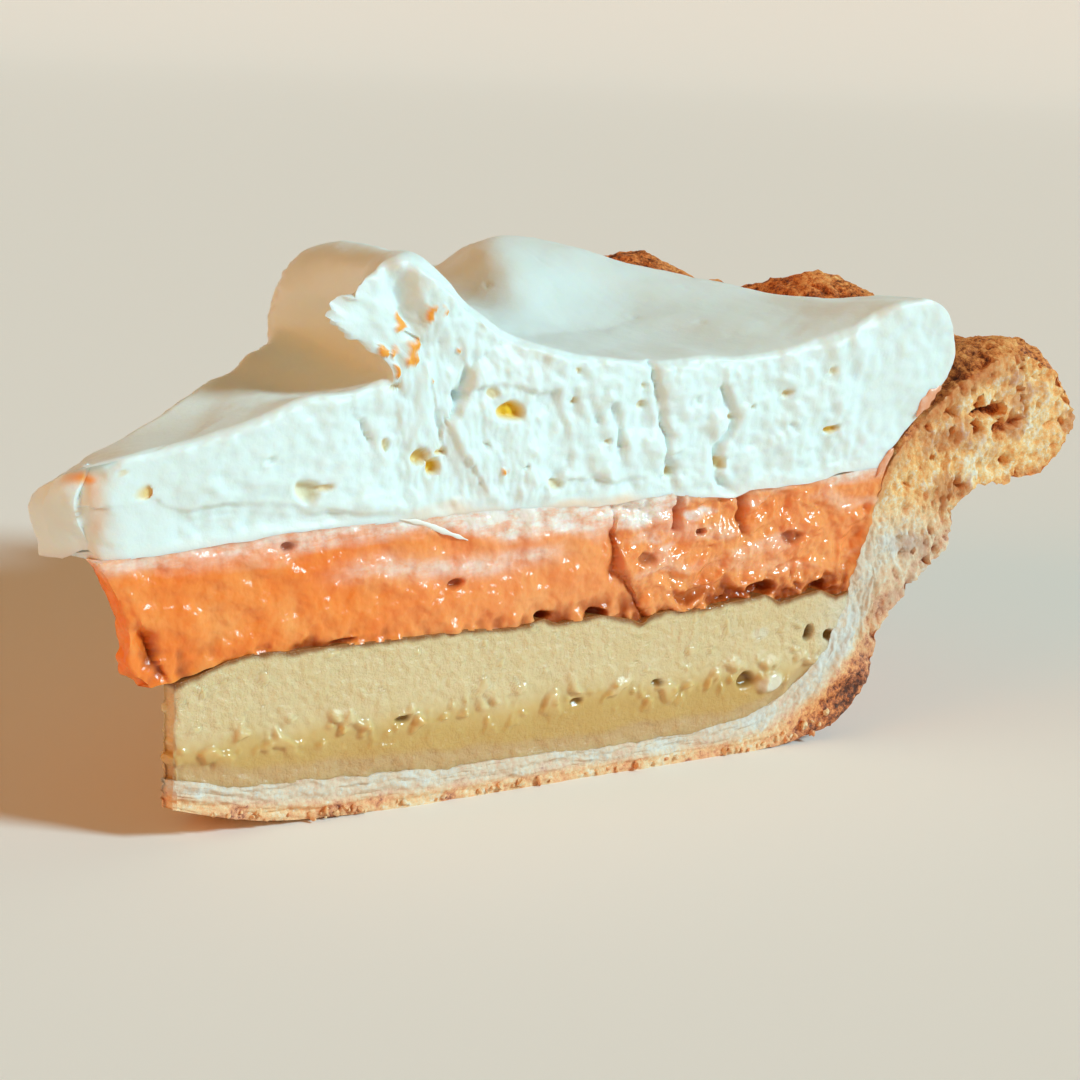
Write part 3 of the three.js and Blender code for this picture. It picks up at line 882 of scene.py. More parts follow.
# %% Pudding smears and piece
SMEAR_EDGE = [
    (-12, 28.2), (0.5, 27.2), (10, 27.6), (21, 28.2), (30, 28.6), (38, 27.8),
    (45, 27.6), (50, 26.8), (56, 26.6), (59, 28), (64, 30), (95, 31),
]
above = height - height_along(x, SMEAR_EDGE)
smear = smooth(above + 0.9 * lumps(base * [0.3, 0.3, 1], 2.6, 3, 0.6, 14), -0.8, 1.6)
drawn = hill(height - 25.2 - 0.9 * noise(base, 14, 19), 0, 1.1) * smooth(x, 16, 26) * smooth(x, 50, 42)
smear = np.maximum(smear * blend(0.55, 1.0, smooth(x, 6, 34)), 0.55 * drawn)
smear = np.maximum(smear, 0.24 * ragged * smooth(scrape, -0.1, 0.5) * smooth(height, 20, 22))
smear_x, smear_z = x + 1.2 * noise(base, 1.6, 22), z + 0.5 * noise(base, 1.2, 23)
PATCHES = [(64.6, 28.4, 2.2, 0.35, 0), (57.6, 26.0, 2.6, 0.35, 0), (60.0, 24.6, 1.8, 0.35, 0)]
_, patches = open_bubbles(smear_x, smear_z, PATCHES, near_cut, (0.7, 0.45, 0.3))
smear = np.maximum(smear, patches)
# The first mark is painted shade: the foot is coloured darker where its drops and gaps are carved in.
pudding_piece = make_piece("orange_pudding", final, list(quads) + long, {
    "hem_shade": hem * smooth(-depth, 0.05, 0.5), "hole_shade": np.maximum(hole_shade_mark, groove_shade_mark),
    "smear": smear, "ragged": ragged,
    "worked": smooth(x + 6 * noise(base, 8, 45), 14, 46),
})
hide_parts("orange_layer")

# %% [markdown]
# The orange layer is a starch pudding, tinted and glossy: smooth gel throws small bright lights back.
# The knife dragged cream over its top edge, which shows as pale streaks. Where its foot is carved in,
# and in its holes and tears, the pudding is painted darker as shade.

# %% Pudding material
pudding, tree = new_material("tinted starch pudding")
where = add(tree, "TexCoord").outputs["Object"]
marks = {
    name: add(tree, "Attribute", attribute_name=name).outputs["Fac"]
    for name in ("hem_shade", "hole_shade", "smear", "ragged", "worked")
}
drift = add(tree, "TexNoise", {"Vector": where, "Scale": per_mm(6), "Detail": 5.0, "Roughness": 0.6})
colour = add(tree, "ValToRGB", {"Fac": drift}, stops=[
    (0.3, "#fb7c2c"), (0.5, "#fe8b3a"), (0.7, "#ffa056"),
])
stretch = add(tree, "Mapping", {"Vector": where, "Rotation": (0, 0, SLICE_ANGLE / 2), "Scale": (0.25, 1, 1)})
streaks = add(tree, "TexNoise", {"Vector": stretch, "Scale": per_mm(1.6), "Detail": 5.0, "Roughness": 0.7})
streak_level = add(tree, "MapRange", {0: streaks, 1: 0.38, 2: 0.62, 3: 0.4, 4: 1.3})
smeared = add(tree, "Math", {0: marks["smear"], 1: streak_level}, operation="MULTIPLY")
torn = add(tree, "Math", {0: marks["worked"], 1: 0.34}, operation="MULTIPLY")
# The two darkest colours are painted shade, in the carved-in foot and in the holes and tears.
for share, hex_colour in (
    (torn, "#ffb680"), (smeared, "#fbece4"), (marks["hem_shade"], "#b4521d"), (marks["hole_shade"], "#a34417"),
):
    colour = add(tree, "Mix", {0: share, 6: colour, 7: linear(hex_colour)}, data_type="RGBA").outputs[2]
grain = add(tree, "TexNoise", {"Vector": where, "Scale": per_mm(1.7), "Detail": 2.5, "Roughness": 0.5})
skin = add(tree, "Bump", {"Height": grain, "Strength": 0.8, "Distance": 0.45 * MM})
wet = add(tree, "MapRange", {0: marks["ragged"], 3: 0.28, 4: 0.15})
shader = add(tree, "BsdfPrincipled", {
    "Base Color": colour, "Roughness": wet, "IOR": 1.45,
    "Subsurface Weight": 0.3, "Subsurface Radius": (1.0, 0.4, 0.15), "Subsurface Scale": 1.6 * MM,
    "Normal": skin,
})
dress(pudding, shader, pudding_piece)

# %% [markdown]
# ## Whipped cream
# A spoon swept the cream twice. The first sweep ends in a wave that breaks towards the point, and the
# second leaves a bowl with a ridge behind it. It could be sculpted or poured as a fluid. Here the top
# is a loft through four rows of stations, because its outline must keep its places. The lines up to it
# bend at an elbow inside the wave, so they fan into its lip and never cross the hollow.

# %% Cream stations, as radius and height on four rows from the near cut to the far cut
CREAM_TOP = np.array([
    [(-7, 38), (-7, 37.2), (-7, 36.2), (-7, 34.8)],
    [(3, 39.9), (3, 39.6), (3, 39.2), (3, 38.7)],
    [(15, 42.9), (15, 42.4), (15, 42.6), (15, 43.2)],
    [(25.4, 45.4), (27.5, 44.8), (30.6, 45.2), (33.6, 47)],
    [(21.6, 48.9), (28, 48.4), (31, 48.6), (34, 49.2)],
    [(18, 50.8), (27, 51.8), (30, 51.8), (34, 51.2)],
    [(21.6, 54.2), (26.8, 55), (30.6, 54.9), (35.6, 53)],
    [(27.4, 57.1), (29.8, 56.8), (34, 56.4), (39, 53.8)],
    [(34.8, 51.4), (37, 52), (42, 52.4), (46, 51)],
    [(43, 47), (46, 47), (57, 48.6), (60, 48.4)],
    [(56, 45.5), (57, 46.2), (65, 53.4), (90, 46.6)],
    [(68, 45.4), (68, 46.6), (71.5, 54.3), (91.2, 46.9)],
    [(79.4, 46.6), (80, 49.2), (79.5, 53.8), (92.4, 47.2)],
    [(88, 50), (87, 49.4), (88, 51.2), (93.5, 47.4)],
    [(94.6, 51), (94.6, 47.8), (94.6, 49), (94.6, 47.5)],
])
WAVE_FOOT, WAVE_CREST, WAVE_END = 3, 7, 9
WAVE_CORE = (2.6, -6.2)  # from the crest to the middle of the wave
CREAM_END = [
    (89.4, 30), (91, 33), (94.2, 36.4), (96.6, 39), (98.8, 41.5), (99.8, 44), (99.2, 46.8), (97.4, 49.4),
    (94.6, 51),
]
ELBOW_DIP = 1.5
CREAM_POINT = -7
CREAM_DRAG = 14.5
DRAG_LENGTH = 16
POINT_BULGE = 1.6
CREAM_CELLS = (360, 80, 72)
end_line = even_line(CREAM_END, np.linspace(0, 1, 300))

# %% Cream shape


def cream_row(across):
    """For each share across, the 15 stations: a smooth line across through the four rows."""
    steps = across * 3.0
    stations = [smooth_line(np.broadcast_to(s, (len(across), 4, 2)), steps) for s in CREAM_TOP]
    return np.stack(stations, axis=1)


def cream_places(station, across, up):
    """A bent line from the cream's floor to its top at a station, which is then dragged and rounded."""
    rows = cream_row(across)
    top = smooth_line(rows, station)
    foot, crest, end = rows[:, WAVE_FOOT], rows[:, WAVE_CREST], rows[:, WAVE_END]
    share = np.clip((station - WAVE_FOOT) / (WAVE_END - WAVE_FOOT), 0, 1)
    on_wave = (station > WAVE_FOOT) & (station < WAVE_END)
    floor = columns(np.where(on_wave, blend(foot[:, 0], end[:, 0], share), top[:, 0]), ORANGE_TOP)
    core = crest + np.array(WAVE_CORE)
    rising = np.clip((station - WAVE_FOOT) / (WAVE_CREST - WAVE_FOOT), 0, 1)[:, None]
    falling = np.clip((station - WAVE_CREST) / (WAVE_END - WAVE_CREST), 0, 1)[:, None]
    elbow = np.where(station[:, None] < WAVE_CREST, blend(foot, core, rising), blend(core, end, falling))
    elbow[:, 1] -= ELBOW_DIP * (1 - np.sin(math.pi * share))
    elbow = np.where(on_wave[:, None], elbow, blend(floor, top, 0.9))
    lower = np.linalg.norm(elbow - floor, axis=1)
    upper = np.linalg.norm(top - elbow, axis=1)
    reach = up * (lower + upper)
    low_part = blend(floor, elbow, np.clip(reach / lower, 0, 1)[:, None])
    high_part = blend(elbow, top, np.clip((reach - lower) / upper, 0, 1)[:, None])
    line = np.where((reach < lower)[:, None], low_part, high_part)
    x, height = line[:, 0], line[:, 1]

    end_top = CREAM_END[-1]
    end_radius = np.interp(np.minimum(height, end_top[1]), end_line[:, 1], end_line[:, 0])
    to_wall = smooth(x, 78, end_top[0]) * (end_radius - end_top[0])
    raised = orange_lift(x) * smooth(height, ORANGE_TOP + 4, ORANGE_TOP)
    drag = CREAM_DRAG * hill(x, CREAM_POINT, DRAG_LENGTH)
    bulge = POINT_BULGE * hill(height, 34, 3) * smooth(x, CREAM_POINT + 5, CREAM_POINT)
    places = in_slice(x + drag + to_wall, across, height + raised)
    return places - NEAR_WAY * (drag + bulge)[:, None]


# %% [markdown]
# The stations are spaced evenly along the near cut's outline, and the places across lie closer
# together near that cut, because it shows most.

# %% Cream grid
CROWDING = 1.35  # the power that draws the places towards the near cut
index, quads, long = block_faces(CREAM_CELLS, 0, CREAM_CELLS[0])
fine_steps = np.linspace(0, len(CREAM_TOP) - 1, 2000)
lengths = lengths_along(smooth_line(CREAM_TOP[:, 0], fine_steps))
station_knots = np.interp(np.linspace(0, lengths[-1], CREAM_CELLS[0] + 1), lengths, fine_steps)
station = station_knots[index[:, 0]]
across = (index[:, 1] / CREAM_CELLS[1]) ** CROWDING
up = index[:, 2] / CREAM_CELLS[2]
base = cream_places(station, across, up)
forward = from_point(base, across)
level = ORANGE_TOP + orange_lift(forward)
seam = seam_shift(forward, base, SEAM_HIGH, level, 102)
base[:, 2] += seam * smooth(base[:, 2], level + 4, level)
base[:, 2] += 0.6 * lumps(base * [1, 0.6, 0.2], 10, 2, 0.4, 55) * smooth(base[:, 2], level + 3, level + 10)
print("cream reaches from", base.min(0).round(1), "to", base.max(0).round(1))

# %% [markdown]
# The knife's edge of the cream isn't sharp: soft cream rounds over. A fillet turns the corner by 45
# degrees on the cut and by 45 on the top. At share t of the way to the corner it moves a place in by
# R(1 - cos 45t) and along by R(t - sin 45t), and the radius is largest where the wave curls over.

# %% Cream edges


def rounding(share, size):
    """How far a fillet moves a place in, R(1 - cos 45t), and along, R(t - sin 45t)."""
    turned = share * math.pi / 4
    return size * (1 - np.cos(turned)), size * (share - np.sin(turned))


near_cut = across == 0
far_cut = across == 1
on_top = (index[:, 2] == CREAM_CELLS[2]) & ~near_cut & ~far_cut
top_only = quads[np.all(index[quads][:, :, 2] == CREAM_CELLS[2], axis=1)]
top_normals = vertex_normals(base, top_only)
fillet = 1.1 + 1.8 * hill(station_knots, 7.3, 0.9) + 0.5 * noise(columns(*[station_knots * 3] * 3), 2, 6)
ragged_lip = smooth(station_knots, 3.3, 4.0) * smooth(station_knots, 6.6, 5.6)
jag = ragged_lip * (0.55 + 1.1 * lumps(columns(station_knots * 6, 0, 0), 2.4, 3, 0.7, 12))
moves = np.zeros_like(base)
for cut, out_way in ((0, NEAR_OUT), (CREAM_CELLS[1], FAR_OUT)):
    edge = np.flatnonzero((index[:, 1] == cut) & (index[:, 2] == CREAM_CELLS[2]))
    edge = edge[np.argsort(index[edge, 0])][index[:, 0]]
    away = np.linalg.norm(base - base[edge], axis=1)
    size = fillet[index[:, 0]]
    inward, sideways = rounding(np.clip(1 - away / size, 0, 1), size)
    on_this_cut = index[:, 1] == cut
    cut_in = np.where(on_this_cut, inward, np.where(on_top, sideways, 0))
    top_in = np.where(on_this_cut, sideways, np.where(on_top, inward, 0))
    top_in[edge] = inward[edge]
    moves -= cut_in[:, None] * out_way + top_in[:, None] * top_normals[edge]
    burr = jag[index[:, 0]] * hill(away, 0, 1.1) * (on_this_cut | on_top)
    moves += burr[:, None] * top_normals[edge] * (cut == 0)

POINT_ROUND = 4.4  # the blunt point turns into the near cut in a rounder curve of its own
at_point = index[:, 0] == 0
edge = np.flatnonzero(at_point & near_cut)
edge = edge[np.argsort(index[edge, 2])][index[:, 2]]
share = np.clip(1 - np.linalg.norm(base - base[edge], axis=1) / POINT_ROUND, 0, 1) * (near_cut | at_point)
inward, sideways = rounding(share, POINT_ROUND)
moves -= np.where(near_cut, inward, sideways)[:, None] * NEAR_OUT
moves += np.where(at_point, inward, sideways)[:, None] * [1.0, 0.0, 0.0]
print("the edges move by up to", np.linalg.norm(moves, axis=1).max().round(2), "mm")

# %% [markdown]
# The knife tore the cream instead of slicing it, and plates came away with sharp edges. Cells give the
# plates, and each cell has a height of its own. What lies within 4 mm of a cut moves with that cut.

# %% Cream cut
normals = vertex_normals(base, quads)
height = base[:, 2]
near_face = smooth((CENTRE - base) @ NEAR_OUT, 4.0, 0.0)
far_face = smooth((CENTRE - base) @ FAR_OUT, 4.0, 0.0)
cut_share = np.maximum(near_face, far_face)
by_far_cut = far_face > near_face
cut_places = columns(forward, 60.0 * by_far_cut, height)
x = forward + 0.7 * lumps(cut_places, 4, 2, 0.5, 5)
z = height + 0.6 * lumps(cut_places, 4, 2, 0.5, 6)
plate_places = columns(x * 0.85, cut_places[:, 1], z * 0.6 + 0.25 * x)
plate_nearest, plate_second, plate_value = cells(plate_places, 5.5, 44)
plate = (plate_value - 0.5) * smooth(plate_second - plate_nearest, 0.0, 0.3)
calm = blend(0.35, 1.0, smooth(forward, 14, 30)) * blend(1.0, 0.45, smooth(forward, 84, 92))
cut_depth = 0.5 * lumps(cut_places, 11, 2, 0.5, 9) + calm * 0.4 * plate
cut_depth += calm * 0.6 * lumps(cut_places * [1, 1, 0.8], 5, 4, 0.55, 10)
cut_depth += 0.17 * noise(cut_places, 1.5, 19) + 0.05 * noise(cut_places, 0.7, 29)

# %% [markdown]
# Near the point the knife dragged the cream into ledges, and further back it left tears. Each is a line
# on the cut with a groove, and the cream on one side of it stands out. On the far cut the same marks run
# the other way. Noise lets them fade, because a tear isn't equally deep along its line.

# %% Cream tears
# A line on the cut, the groove's half width and depth, and how far its left side stands out.
TEARS = [
    ([(-5.2, 33.8), (-1.4, 33.6), (0.4, 34.1), (2.4, 32.4), (8, 33.1), (11.2, 32.7), (15.3, 31.7),
      (20.2, 31.4), (24.8, 31.0), (28, 30.4)], 0.5, 0.2, 0.35),
    ([(-8.8, 36.8), (-9.0, 35.5), (-7.7, 32.4), (-7.9, 30.2)], 0.35, 0.4, -0.3),
    ([(34.5, 44.4), (31.5, 40.2), (31.6, 38.9), (33.7, 36.3)], 0.4, 0.25, 0.28),
    ([(29.3, 48.6), (32.5, 47.8), (34.6, 44.8), (32.0, 40.5)], 0.4, 0.25, 0.25),
    ([(34.7, 43.1), (37.8, 43.2), (44.5, 42.3), (44.9, 39.8), (46.0, 38.7), (46.8, 35.4), (45.0, 33.3)],
     0.4, 0.3, 0.3),
    ([(57.1, 45.4), (58.0, 41.2), (58.5, 39.5), (59.3, 36.1), (59.9, 33.1), (60.9, 29.6)], 0.45, 0.75, 0.15),
    ([(67.2, 42.0), (67.8, 38.5), (66.7, 35.6), (66.3, 32.2), (69.0, 29.6)], 0.5, 0.7, 0.15),
    ([(52.0, 40.4), (53.6, 36.7)], 0.35, 0.5, 0.1),
    ([(49.3, 33.0), (53.2, 32.2), (57.3, 32.5), (58.9, 33.9)], 0.35, 0.3, 0.25),
    ([(22.0, 40.6), (23.1, 38.7)], 0.4, 0.5, 0.1),
    ([(30.2, 41.4), (30.7, 39.6)], 0.4, 0.45, 0.1),
    ([(21.8, 57.6), (23.7, 56.3), (24.9, 55.3), (25.7, 54.0), (26.4, 52.2), (27.1, 50.5)], 1.5, 0.8, 0.0),
    ([(32.0, 54.9), (33.8, 52.3), (35.1, 49.3), (35.0, 46.7), (34.2, 44.2), (33.1, 42.8)], 0.6, 0.4, -0.2),
]
CUT_LENGTH = 88.0
mark_x = np.where(by_far_cut, CUT_LENGTH - x, x)
fading = np.clip(0.9 + 0.8 * noise(cut_places, 5, 31), 0.35, 1.3)
for line, width, groove, stand in TEARS:
    away, side = tear(mark_x, z, line)
    step = stand * side * smooth(away, 0.0, 0.7) * hill(away, 0, 3.0)
    cut_depth += cut_share * (step - groove * hill(away, 0, width)) * fading

# %% [markdown]
# Bubbles were opened by the knife, some with a drop of yolk-coloured custard inside.

# %% Cream bubbles
# Distance along the cut, height, half width, flatness, depth and how yellow they are.
BUBBLES = [
    (39.5, 40.8, 2.0, 0.55, 1.2, 1.0), (36.9, 42.7, 0.8, 0.6, 0.4, 0.5), (28.9, 36.5, 1.2, 0.65, 0.9, 0.8),
    (30.3, 35.4, 0.8, 1.1, 1.1, 1.0), (31.1, 37.2, 0.8, 0.6, 0.7, 0.7), (16.0, 33.9, 1.7, 0.75, 0.9, 0.4),
    (18.1, 34.3, 1.1, 0.4, 0.5, 0.5), (-1.1, 35.1, 0.95, 0.8, 0.9, 0.7), (-3.4, 37.0, 0.5, 0.8, 0.4, 0.3),
    (47.4, 44.6, 0.4, 1.0, 0.4, 0.5), (47.1, 41.4, 0.4, 1.2, 0.4, 0.5), (55.9, 42.5, 0.4, 0.9, 0.4, 0.4),
    (55.8, 40.5, 0.6, 0.8, 0.5, 0.4), (67.4, 38.5, 0.5, 0.8, 0.5, 0.6), (67.0, 33.6, 0.55, 1.5, 0.8, 0.6),
    (75.2, 41.1, 0.8, 0.6, 0.6, 0.5), (81.8, 43.1, 0.5, 1.0, 0.4, 0.4), (82.3, 36.9, 0.9, 0.6, 0.9, 0.9),
    (51.4, 36.9, 0.5, 0.8, 0.5, 0.4), (45.5, 32.7, 1.1, 0.6, 0.6, 0.4), (59.8, 33.3, 0.5, 1.3, 0.6, 0.5),
    (70.8, 39.5, 0.45, 1.0, 0.4, 0.3), (24.9, 38.3, 0.5, 1.6, 0.6, 0.5), (25.7, 43.9, 0.7, 0.5, 0.4, 0.4),
    (41.0, 34.6, 0.5, 0.7, 0.4, 0.1), (63.2, 40.9, 0.5, 1.4, 0.4, 0.0), (76.6, 37.0, 0.6, 1.2, 0.4, 0.0),
    (12.0, 37.6, 0.6, 0.7, 0.4, 0.1), (49.8, 39.6, 0.6, 1.0, 0.4, 0.0), (36.6, 37.6, 0.6, 0.6, 0.3, 0.1),
]
shapes, tints = np.split(np.array(BUBBLES), [5], axis=1)
hole_depths, yellow = open_bubbles(mark_x, z, shapes, cut_share, tints[:, 0])
above = height - height_along(forward, SEAM_HIGH)
cut_depth = np.clip(cut_depth - hole_depths, -1.8, 1.2) * smooth(above, 0.0, 1.6)
print("cream relief in mm:", cut_depth.min().round(2), "to", cut_depth.max().round(2))

# %% [markdown]
# On top, the spoon's edge left fine lines along its way, and the cream between them is nearly smooth.
# On the cut there are a few specks of pudding, and a peach stain where the knife wiped the seam. Both
# lie flush with the cream, so they are marks and need no mesh of their own.

# %% Cream top and piece
sweep = columns(0.25 * forward, base[:, 1] * 0.9 - 0.2 * forward, 0.3 * height)
striae = 0.035 * noise(sweep, 1.1, 59) + 0.02 * noise(sweep, 0.55, 58)
waves = 0.3 * lumps(base, 12, 2, 0.5, 69) + 0.05 * noise(base, 1.6, 79)
sparse, _, sparse_value = cells(base, 3.4, 83)
dents = 0.22 * smooth(0.22 - sparse, 0, 0.2) * (sparse_value > 0.6)
# Specks of pudding that the knife left: distance along the cut, height and half width.
SPECKS = [
    (26.3, 50.1, 0.8), (29.1, 51.5, 0.6), (30.7, 51.6, 0.35), (24.2, 47.5, 0.5), (25.7, 47.3, 0.55),
    (27.9, 48.0, 0.65), (27.6, 46.7, 0.8), (33.1, 46.8, 0.3), (25.9, 45.4, 0.3), (38.2, 34.4, 0.35),
    (29.6, 44.6, 0.25),
]
speck_x, speck_z = x + 0.7 * noise(cut_places, 1.1, 92), z + 0.7 * noise(cut_places, 1.1, 93)
speck_shapes = [(*speck, 1.2, 0.0) for speck in SPECKS]
_, orange = open_bubbles(speck_x, speck_z, speck_shapes, near_face, np.ones(len(SPECKS)))
cut_depth += 0.3 * orange * near_face
stain, _ = tear(x, z, [(-9.2, 36.4), (-8.6, 36.7), (-6.6, 36.3)])
faint, _ = tear(x, z, [(-6.6, 36.3), (-6.0, 34.6), (-6.3, 32.0)])
orange = np.maximum(orange, near_face * np.maximum(0.9 * hill(stain, 0, 0.5), 0.3 * hill(faint, 0, 0.8)))
top_depth = (striae + waves - dents) * smooth(height, 31, 35) * (1 - cut_share)
cut_ways = near_face[:, None] * NEAR_OUT + far_face[:, None] * FAR_OUT
final = base + moves + normals * (top_depth * ~near_cut * ~far_cut)[:, None] + cut_ways * cut_depth[:, None]
peach = smooth(above + lumps(cut_places * [0.4, 1, 1], 2.5, 2, 0.6, 15), 1.6, -0.4) * cut_share
peach *= blend(0.25, 0.95, smooth(forward, 24, 30) * smooth(forward, 60, 54))
cream_piece = make_piece("whipped_cream_swirl", final, list(quads) + long, {
    "yellow": yellow, "orange": orange, "peach": peach,
})
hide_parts("whipped_cream")

# %% [markdown]
# Whipped cream is fat and air. It scatters nearly all light and lets it travel about a millimetre, a
# little further in red, so its shadows are soft and warm.

# %% Cream material
cream, tree = new_material("whipped dairy cream")
where = add(tree, "TexCoord").outputs["Object"]
marks = {
    name: add(tree, "Attribute", attribute_name=name).outputs["Fac"]
    for name in ("yellow", "orange", "peach")
}
drift = add(tree, "TexNoise", {"Vector": where, "Scale": per_mm(12), "Detail": 3.0})
colour = add(tree, "ValToRGB", {"Fac": drift}, stops=[(0.3, "#e4f1ef"), (0.7, "#eaf7f7")])
for mark, hex_colour in (("peach", "#f6d8c0"), ("yellow", "#f6c52c"), ("orange", "#fda640")):
    colour = add(tree, "Mix", {0: marks[mark], 6: colour, 7: linear(hex_colour)}, data_type="RGBA").outputs[2]
froth = add(tree, "TexNoise", {"Vector": where, "Scale": per_mm(0.7), "Detail": 3.0, "Roughness": 0.6})
pores = add(tree, "Bump", {"Height": froth, "Strength": 0.3, "Distance": 0.15 * MM})
shader = add(tree, "BsdfPrincipled", {
    "Base Color": colour, "Roughness": 0.42, "IOR": 1.4,
    "Subsurface Weight": 0.5, "Subsurface Radius": (1.0, 0.75, 0.5), "Subsurface Scale": 1.0 * MM,
    "Normal": pores,
})
dress(cream, shader, cream_piece)

# %% [markdown]
# ## Smears and crumbs
# The knife left two licks of pudding beside the pastry and a streak of cream on the pudding. They stand
# on the cut and catch the light, so they are pieces and not only marks. Each is a ribbon: a line on the
# cut, with a lens-shaped section whose width swells and dies away again.

# %% Ribbons


def ribbon(name, line, half_width, thickness, forward_of_cut, material):
    """A lens carried along a line on the near cut: width falls to nothing at both ends as a sine."""
    steps_along, steps_round = 120, 20
    share = np.linspace(0, 1, steps_along + 1)
    middle = even_line(line, share)
    way = np.gradient(middle, axis=0)
    way /= np.linalg.norm(way, axis=1, keepdims=True)
    beside = columns(-way[:, 1], way[:, 0])
    swell = np.sin(math.pi * np.clip(share, 0.004, 0.996)) ** 0.6
    ripple = 1 + 0.7 * noise(columns(*middle.T, 0), 1.2, 7)
    angle = np.arange(steps_round) / steps_round * 2 * math.pi
    out = (swell * ripple * half_width)[:, None] * np.cos(angle)
    front = forward_of_cut + thickness * np.minimum(swell, 1)[:, None] * np.sin(angle)
    flat = middle[:, None, :] + out[..., None] * beside[:, None, :]
    places = CENTRE + flat[..., :1] * NEAR_WAY + front[..., None] * NEAR_OUT
    places[..., 2] = flat[..., 1]
    places = places.reshape(-1, 3)
    number = np.arange(len(places)).reshape(steps_along + 1, steps_round)
    turned = np.roll(number, -1, axis=1)
    faces = np.stack([number[:-1], turned[:-1], turned[1:], number[1:]], axis=-1).reshape(-1, 4)
    ends = [list(map(int, number[0][::-1])), list(map(int, number[-1]))]
    piece = make_piece(name, places, list(faces) + ends, {})
    piece.data.materials.append(material)


# %% Smear material


def plain_food(name, hex_colour, roughness):
    """A material for a thin smear: one food, a little uneven in colour."""
    material, tree = new_material(name)
    where = add(tree, "TexCoord").outputs["Object"]
    drift = add(tree, "TexNoise", {"Vector": where, "Scale": per_mm(1.5), "Detail": 4.0})
    pale = add(tree, "MapRange", {0: drift, 1: 0.4, 2: 0.75, 3: 0.0, 4: 0.6})
    ends = {6: linear(hex_colour), 7: linear("#f7e6d6")}
    colour = add(tree, "Mix", {0: pale, **ends}, data_type="RGBA").outputs[2]
    skin = add(tree, "Bump", {"Height": drift, "Strength": 0.5, "Distance": 0.2 * MM})
    shader = add(tree, "BsdfPrincipled", {
        "Base Color": colour, "Roughness": roughness, "IOR": 1.42, "Normal": skin,
    })
    dress(material, shader)
    return material


# %% Smears, as distance along the near cut and height
LICK_HIGH = [(94.5, 37.2), (95.4, 38.5), (96.6, 39.8), (98.0, 40.6)]
LICK_LOW = [(89.2, 30.6), (90.2, 32.2), (91.4, 33.8)]
STREAK = [(26.5, 30.5), (29.2, 29.9), (31.6, 28.9), (34.9, 27.6)]
lick_food = plain_food("pudding smeared with cream", "#eda27a", 0.25)
streak_food = plain_food("cream streak", "#f3f2ec", 0.4)
ribbon("pudding_lick_high", LICK_HIGH, 0.7, 0.3, 0.05, lick_food)
ribbon("pudding_lick_low", LICK_LOW, 0.6, 0.3, 0.05, lick_food)
ribbon("cream_streak", STREAK, 0.3, 0.16, 0.06, streak_food)

# %% [markdown]
# Pastry sheds crumbs when it is cut, and some cling to the cut. A particle system could scatter them,
# but arrays with a seeded dice give the same crumbs each time. A crumb is a small ball that noise has
# made lumpy. One ball is worked out, and its copies are turned, sized and placed as whole arrays.

# %% Crumbs
ball = bmesh.new()
bmesh.ops.create_icosphere(ball, subdivisions=2, radius=1.0)
ball_places = np.array([v.co[:] for v in ball.verts])
ball_faces = np.array([[v.index for v in f.verts] for f in ball.faces])
ball.free()

CRUMBS = 70
seats = dice.choice(crumb_seats, CRUMBS)
sizes = 0.22 + 0.4 * dice.random(CRUMBS) ** 2
turns = np.linalg.qr(dice.normal(size=(CRUMBS, 3, 3)))[0]
turns *= np.sign(np.linalg.det(turns))[:, None, None]
middles = seats + NEAR_OUT * (0.25 * sizes)[:, None]
middles[:, 2] = np.maximum(middles[:, 2], sizes * 1.25)
lumpy = ball_places * [1.0, 0.75, 0.6]
crumb_places = (np.einsum("nij,vj->nvi", turns, lumpy) * sizes[:, None, None]).reshape(-1, 3)
which = np.arange(CRUMBS)
apart = np.repeat(which, len(lumpy))[:, None] * 7.3  # takes each crumb's lumps from another place
bumps = noise(crumb_places + apart, 0.35, 3)
crumb_places = crumb_places * (1 + 0.9 * bumps)[:, None] + np.repeat(middles, len(lumpy), axis=0)
crumb_faces = ball_faces[None] + (which * len(lumpy))[:, None, None]
crumb_toast = np.repeat(0.15 + 0.45 * dice.random(CRUMBS), len(lumpy))
crumb_piece = make_piece("pastry_crumbs", crumb_places, list(crumb_faces.reshape(-1, 3)), {
    "toast_and_shade": crumb_toast, "ruddy": 0 * crumb_toast, "floury": 0.3 + 0 * crumb_toast,
})
crumb_piece.data.materials.append(pastry)

# %% [markdown]
# ## Floor and light
# A pale floor stands in for the table. Sunlamps with a wide angle light it evenly, like big softboxes
# far away. The cool one comes from the front right and shows the cut, and the warm one comes from the
# left, where it reaches the hollows that the first leaves in shade.

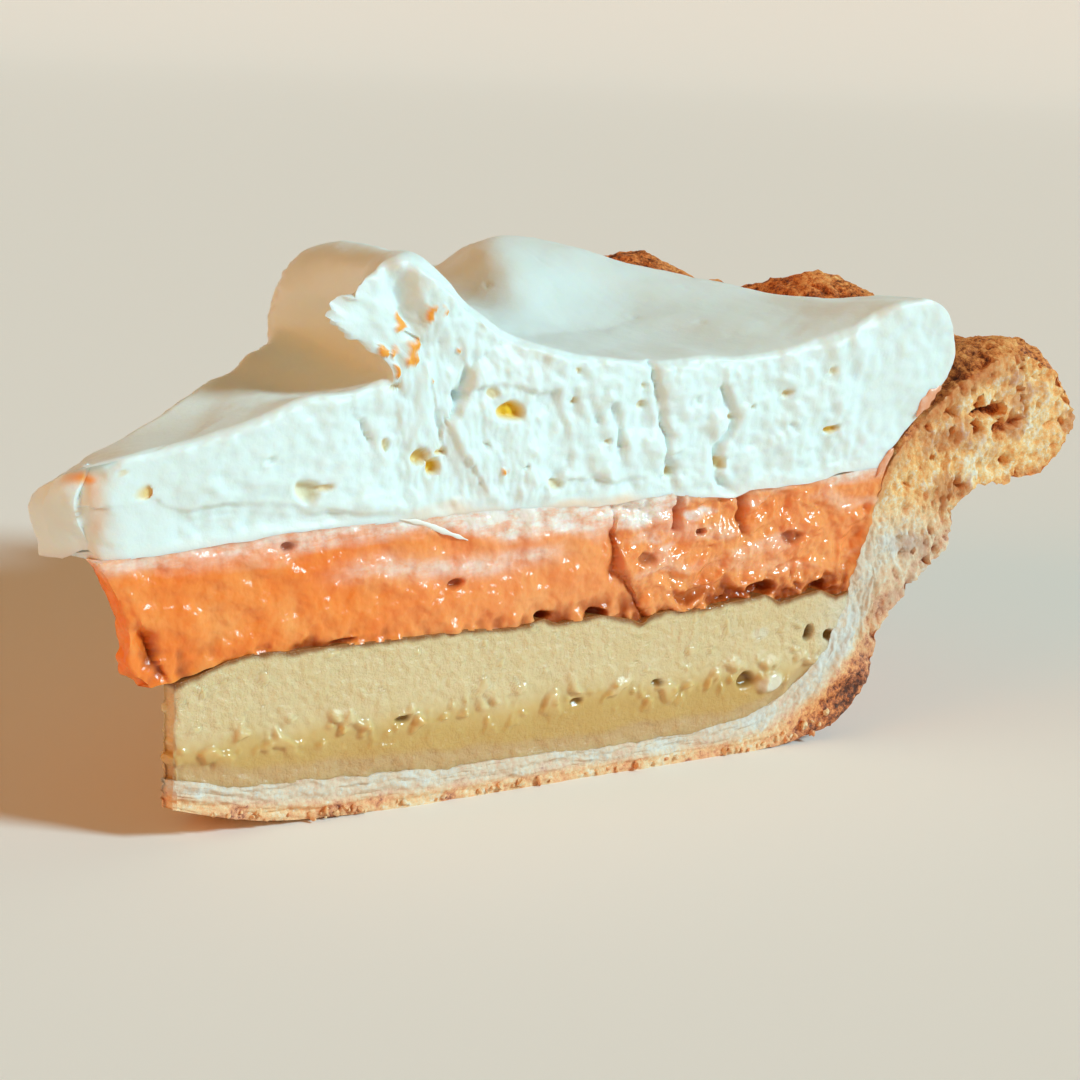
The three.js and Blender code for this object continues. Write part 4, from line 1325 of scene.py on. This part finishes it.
# %% Floor
FLOOR_HALF = 6.0
SWEEP_START, SWEEP_RADIUS = 2.4, 1.5  # far behind the slice the floor curves up, so it has no edge
bend = np.linspace(0, math.pi / 2, 24)
floor_line = np.concatenate([
    [(-FLOOR_HALF, 0)],
    columns(SWEEP_START + SWEEP_RADIUS * np.sin(bend), SWEEP_RADIUS * (1 - np.cos(bend))),
])
back_way = np.array(CAMERA_LOOK.xy.normalized())
side_way = np.array([-back_way[1], back_way[0]])
rows = [np.column_stack([floor_line[:, :1] * back_way + side * FLOOR_HALF * side_way, floor_line[:, 1]])
        for side in (1, -1)]
count = len(floor_line)
floor_mesh = bpy.data.meshes.new("floor")
floor_faces = [(i + count, i + count + 1, i + 1, i) for i in range(count - 1)]
floor_mesh.from_pydata(np.concatenate(rows).tolist(), [], floor_faces)
floor_mesh.shade_smooth()
floor_piece = bpy.data.objects.new("floor", floor_mesh)
bpy.context.scene.collection.objects.link(floor_piece)
paper, tree = new_material("matt white paper")
shader = add(tree, "BsdfPrincipled", {"Base Color": linear("#f6f1ec"), "Roughness": 0.9})
dress(paper, shader, floor_piece)

# %% [markdown]
# A picture of a room could light the slice too, but lamps are easier to aim. The world only adds a weak
# warm light from everywhere, as walls do.

# %% Lights


def soft_sun(name, towards, spread, strength, hex_colour):
    """A sunlamp in the direction `towards`, whose disc is `spread` degrees wide."""
    data = bpy.data.lights.new(name, "SUN")
    data.angle = math.radians(spread)
    data.energy = strength
    data.color = linear(hex_colour)[:3]
    lamp = bpy.data.objects.new(name, data)
    lamp.matrix_world = Vector(towards).to_track_quat("Z", "Y").to_matrix().to_4x4()
    bpy.context.scene.collection.objects.link(lamp)
    print(name, "is a sunlamp", spread, "degrees wide")


soft_sun("key", (0.3, -0.82, 0.52), 14, 3.15, "#cdf4ff")
soft_sun("fill", (-0.9, 0.25, 0.25), 40, 1.15, "#ff9a2e")

# %% World
world = bpy.data.worlds.new("studio")
bpy.context.scene.world = world
world.use_nodes = True
background = world.node_tree.nodes["Background"]
background.inputs["Color"].default_value = linear("#fbd9a6")
background.inputs["Strength"].default_value = 0.3
bpy.context.scene.view_settings.view_transform = "Standard"
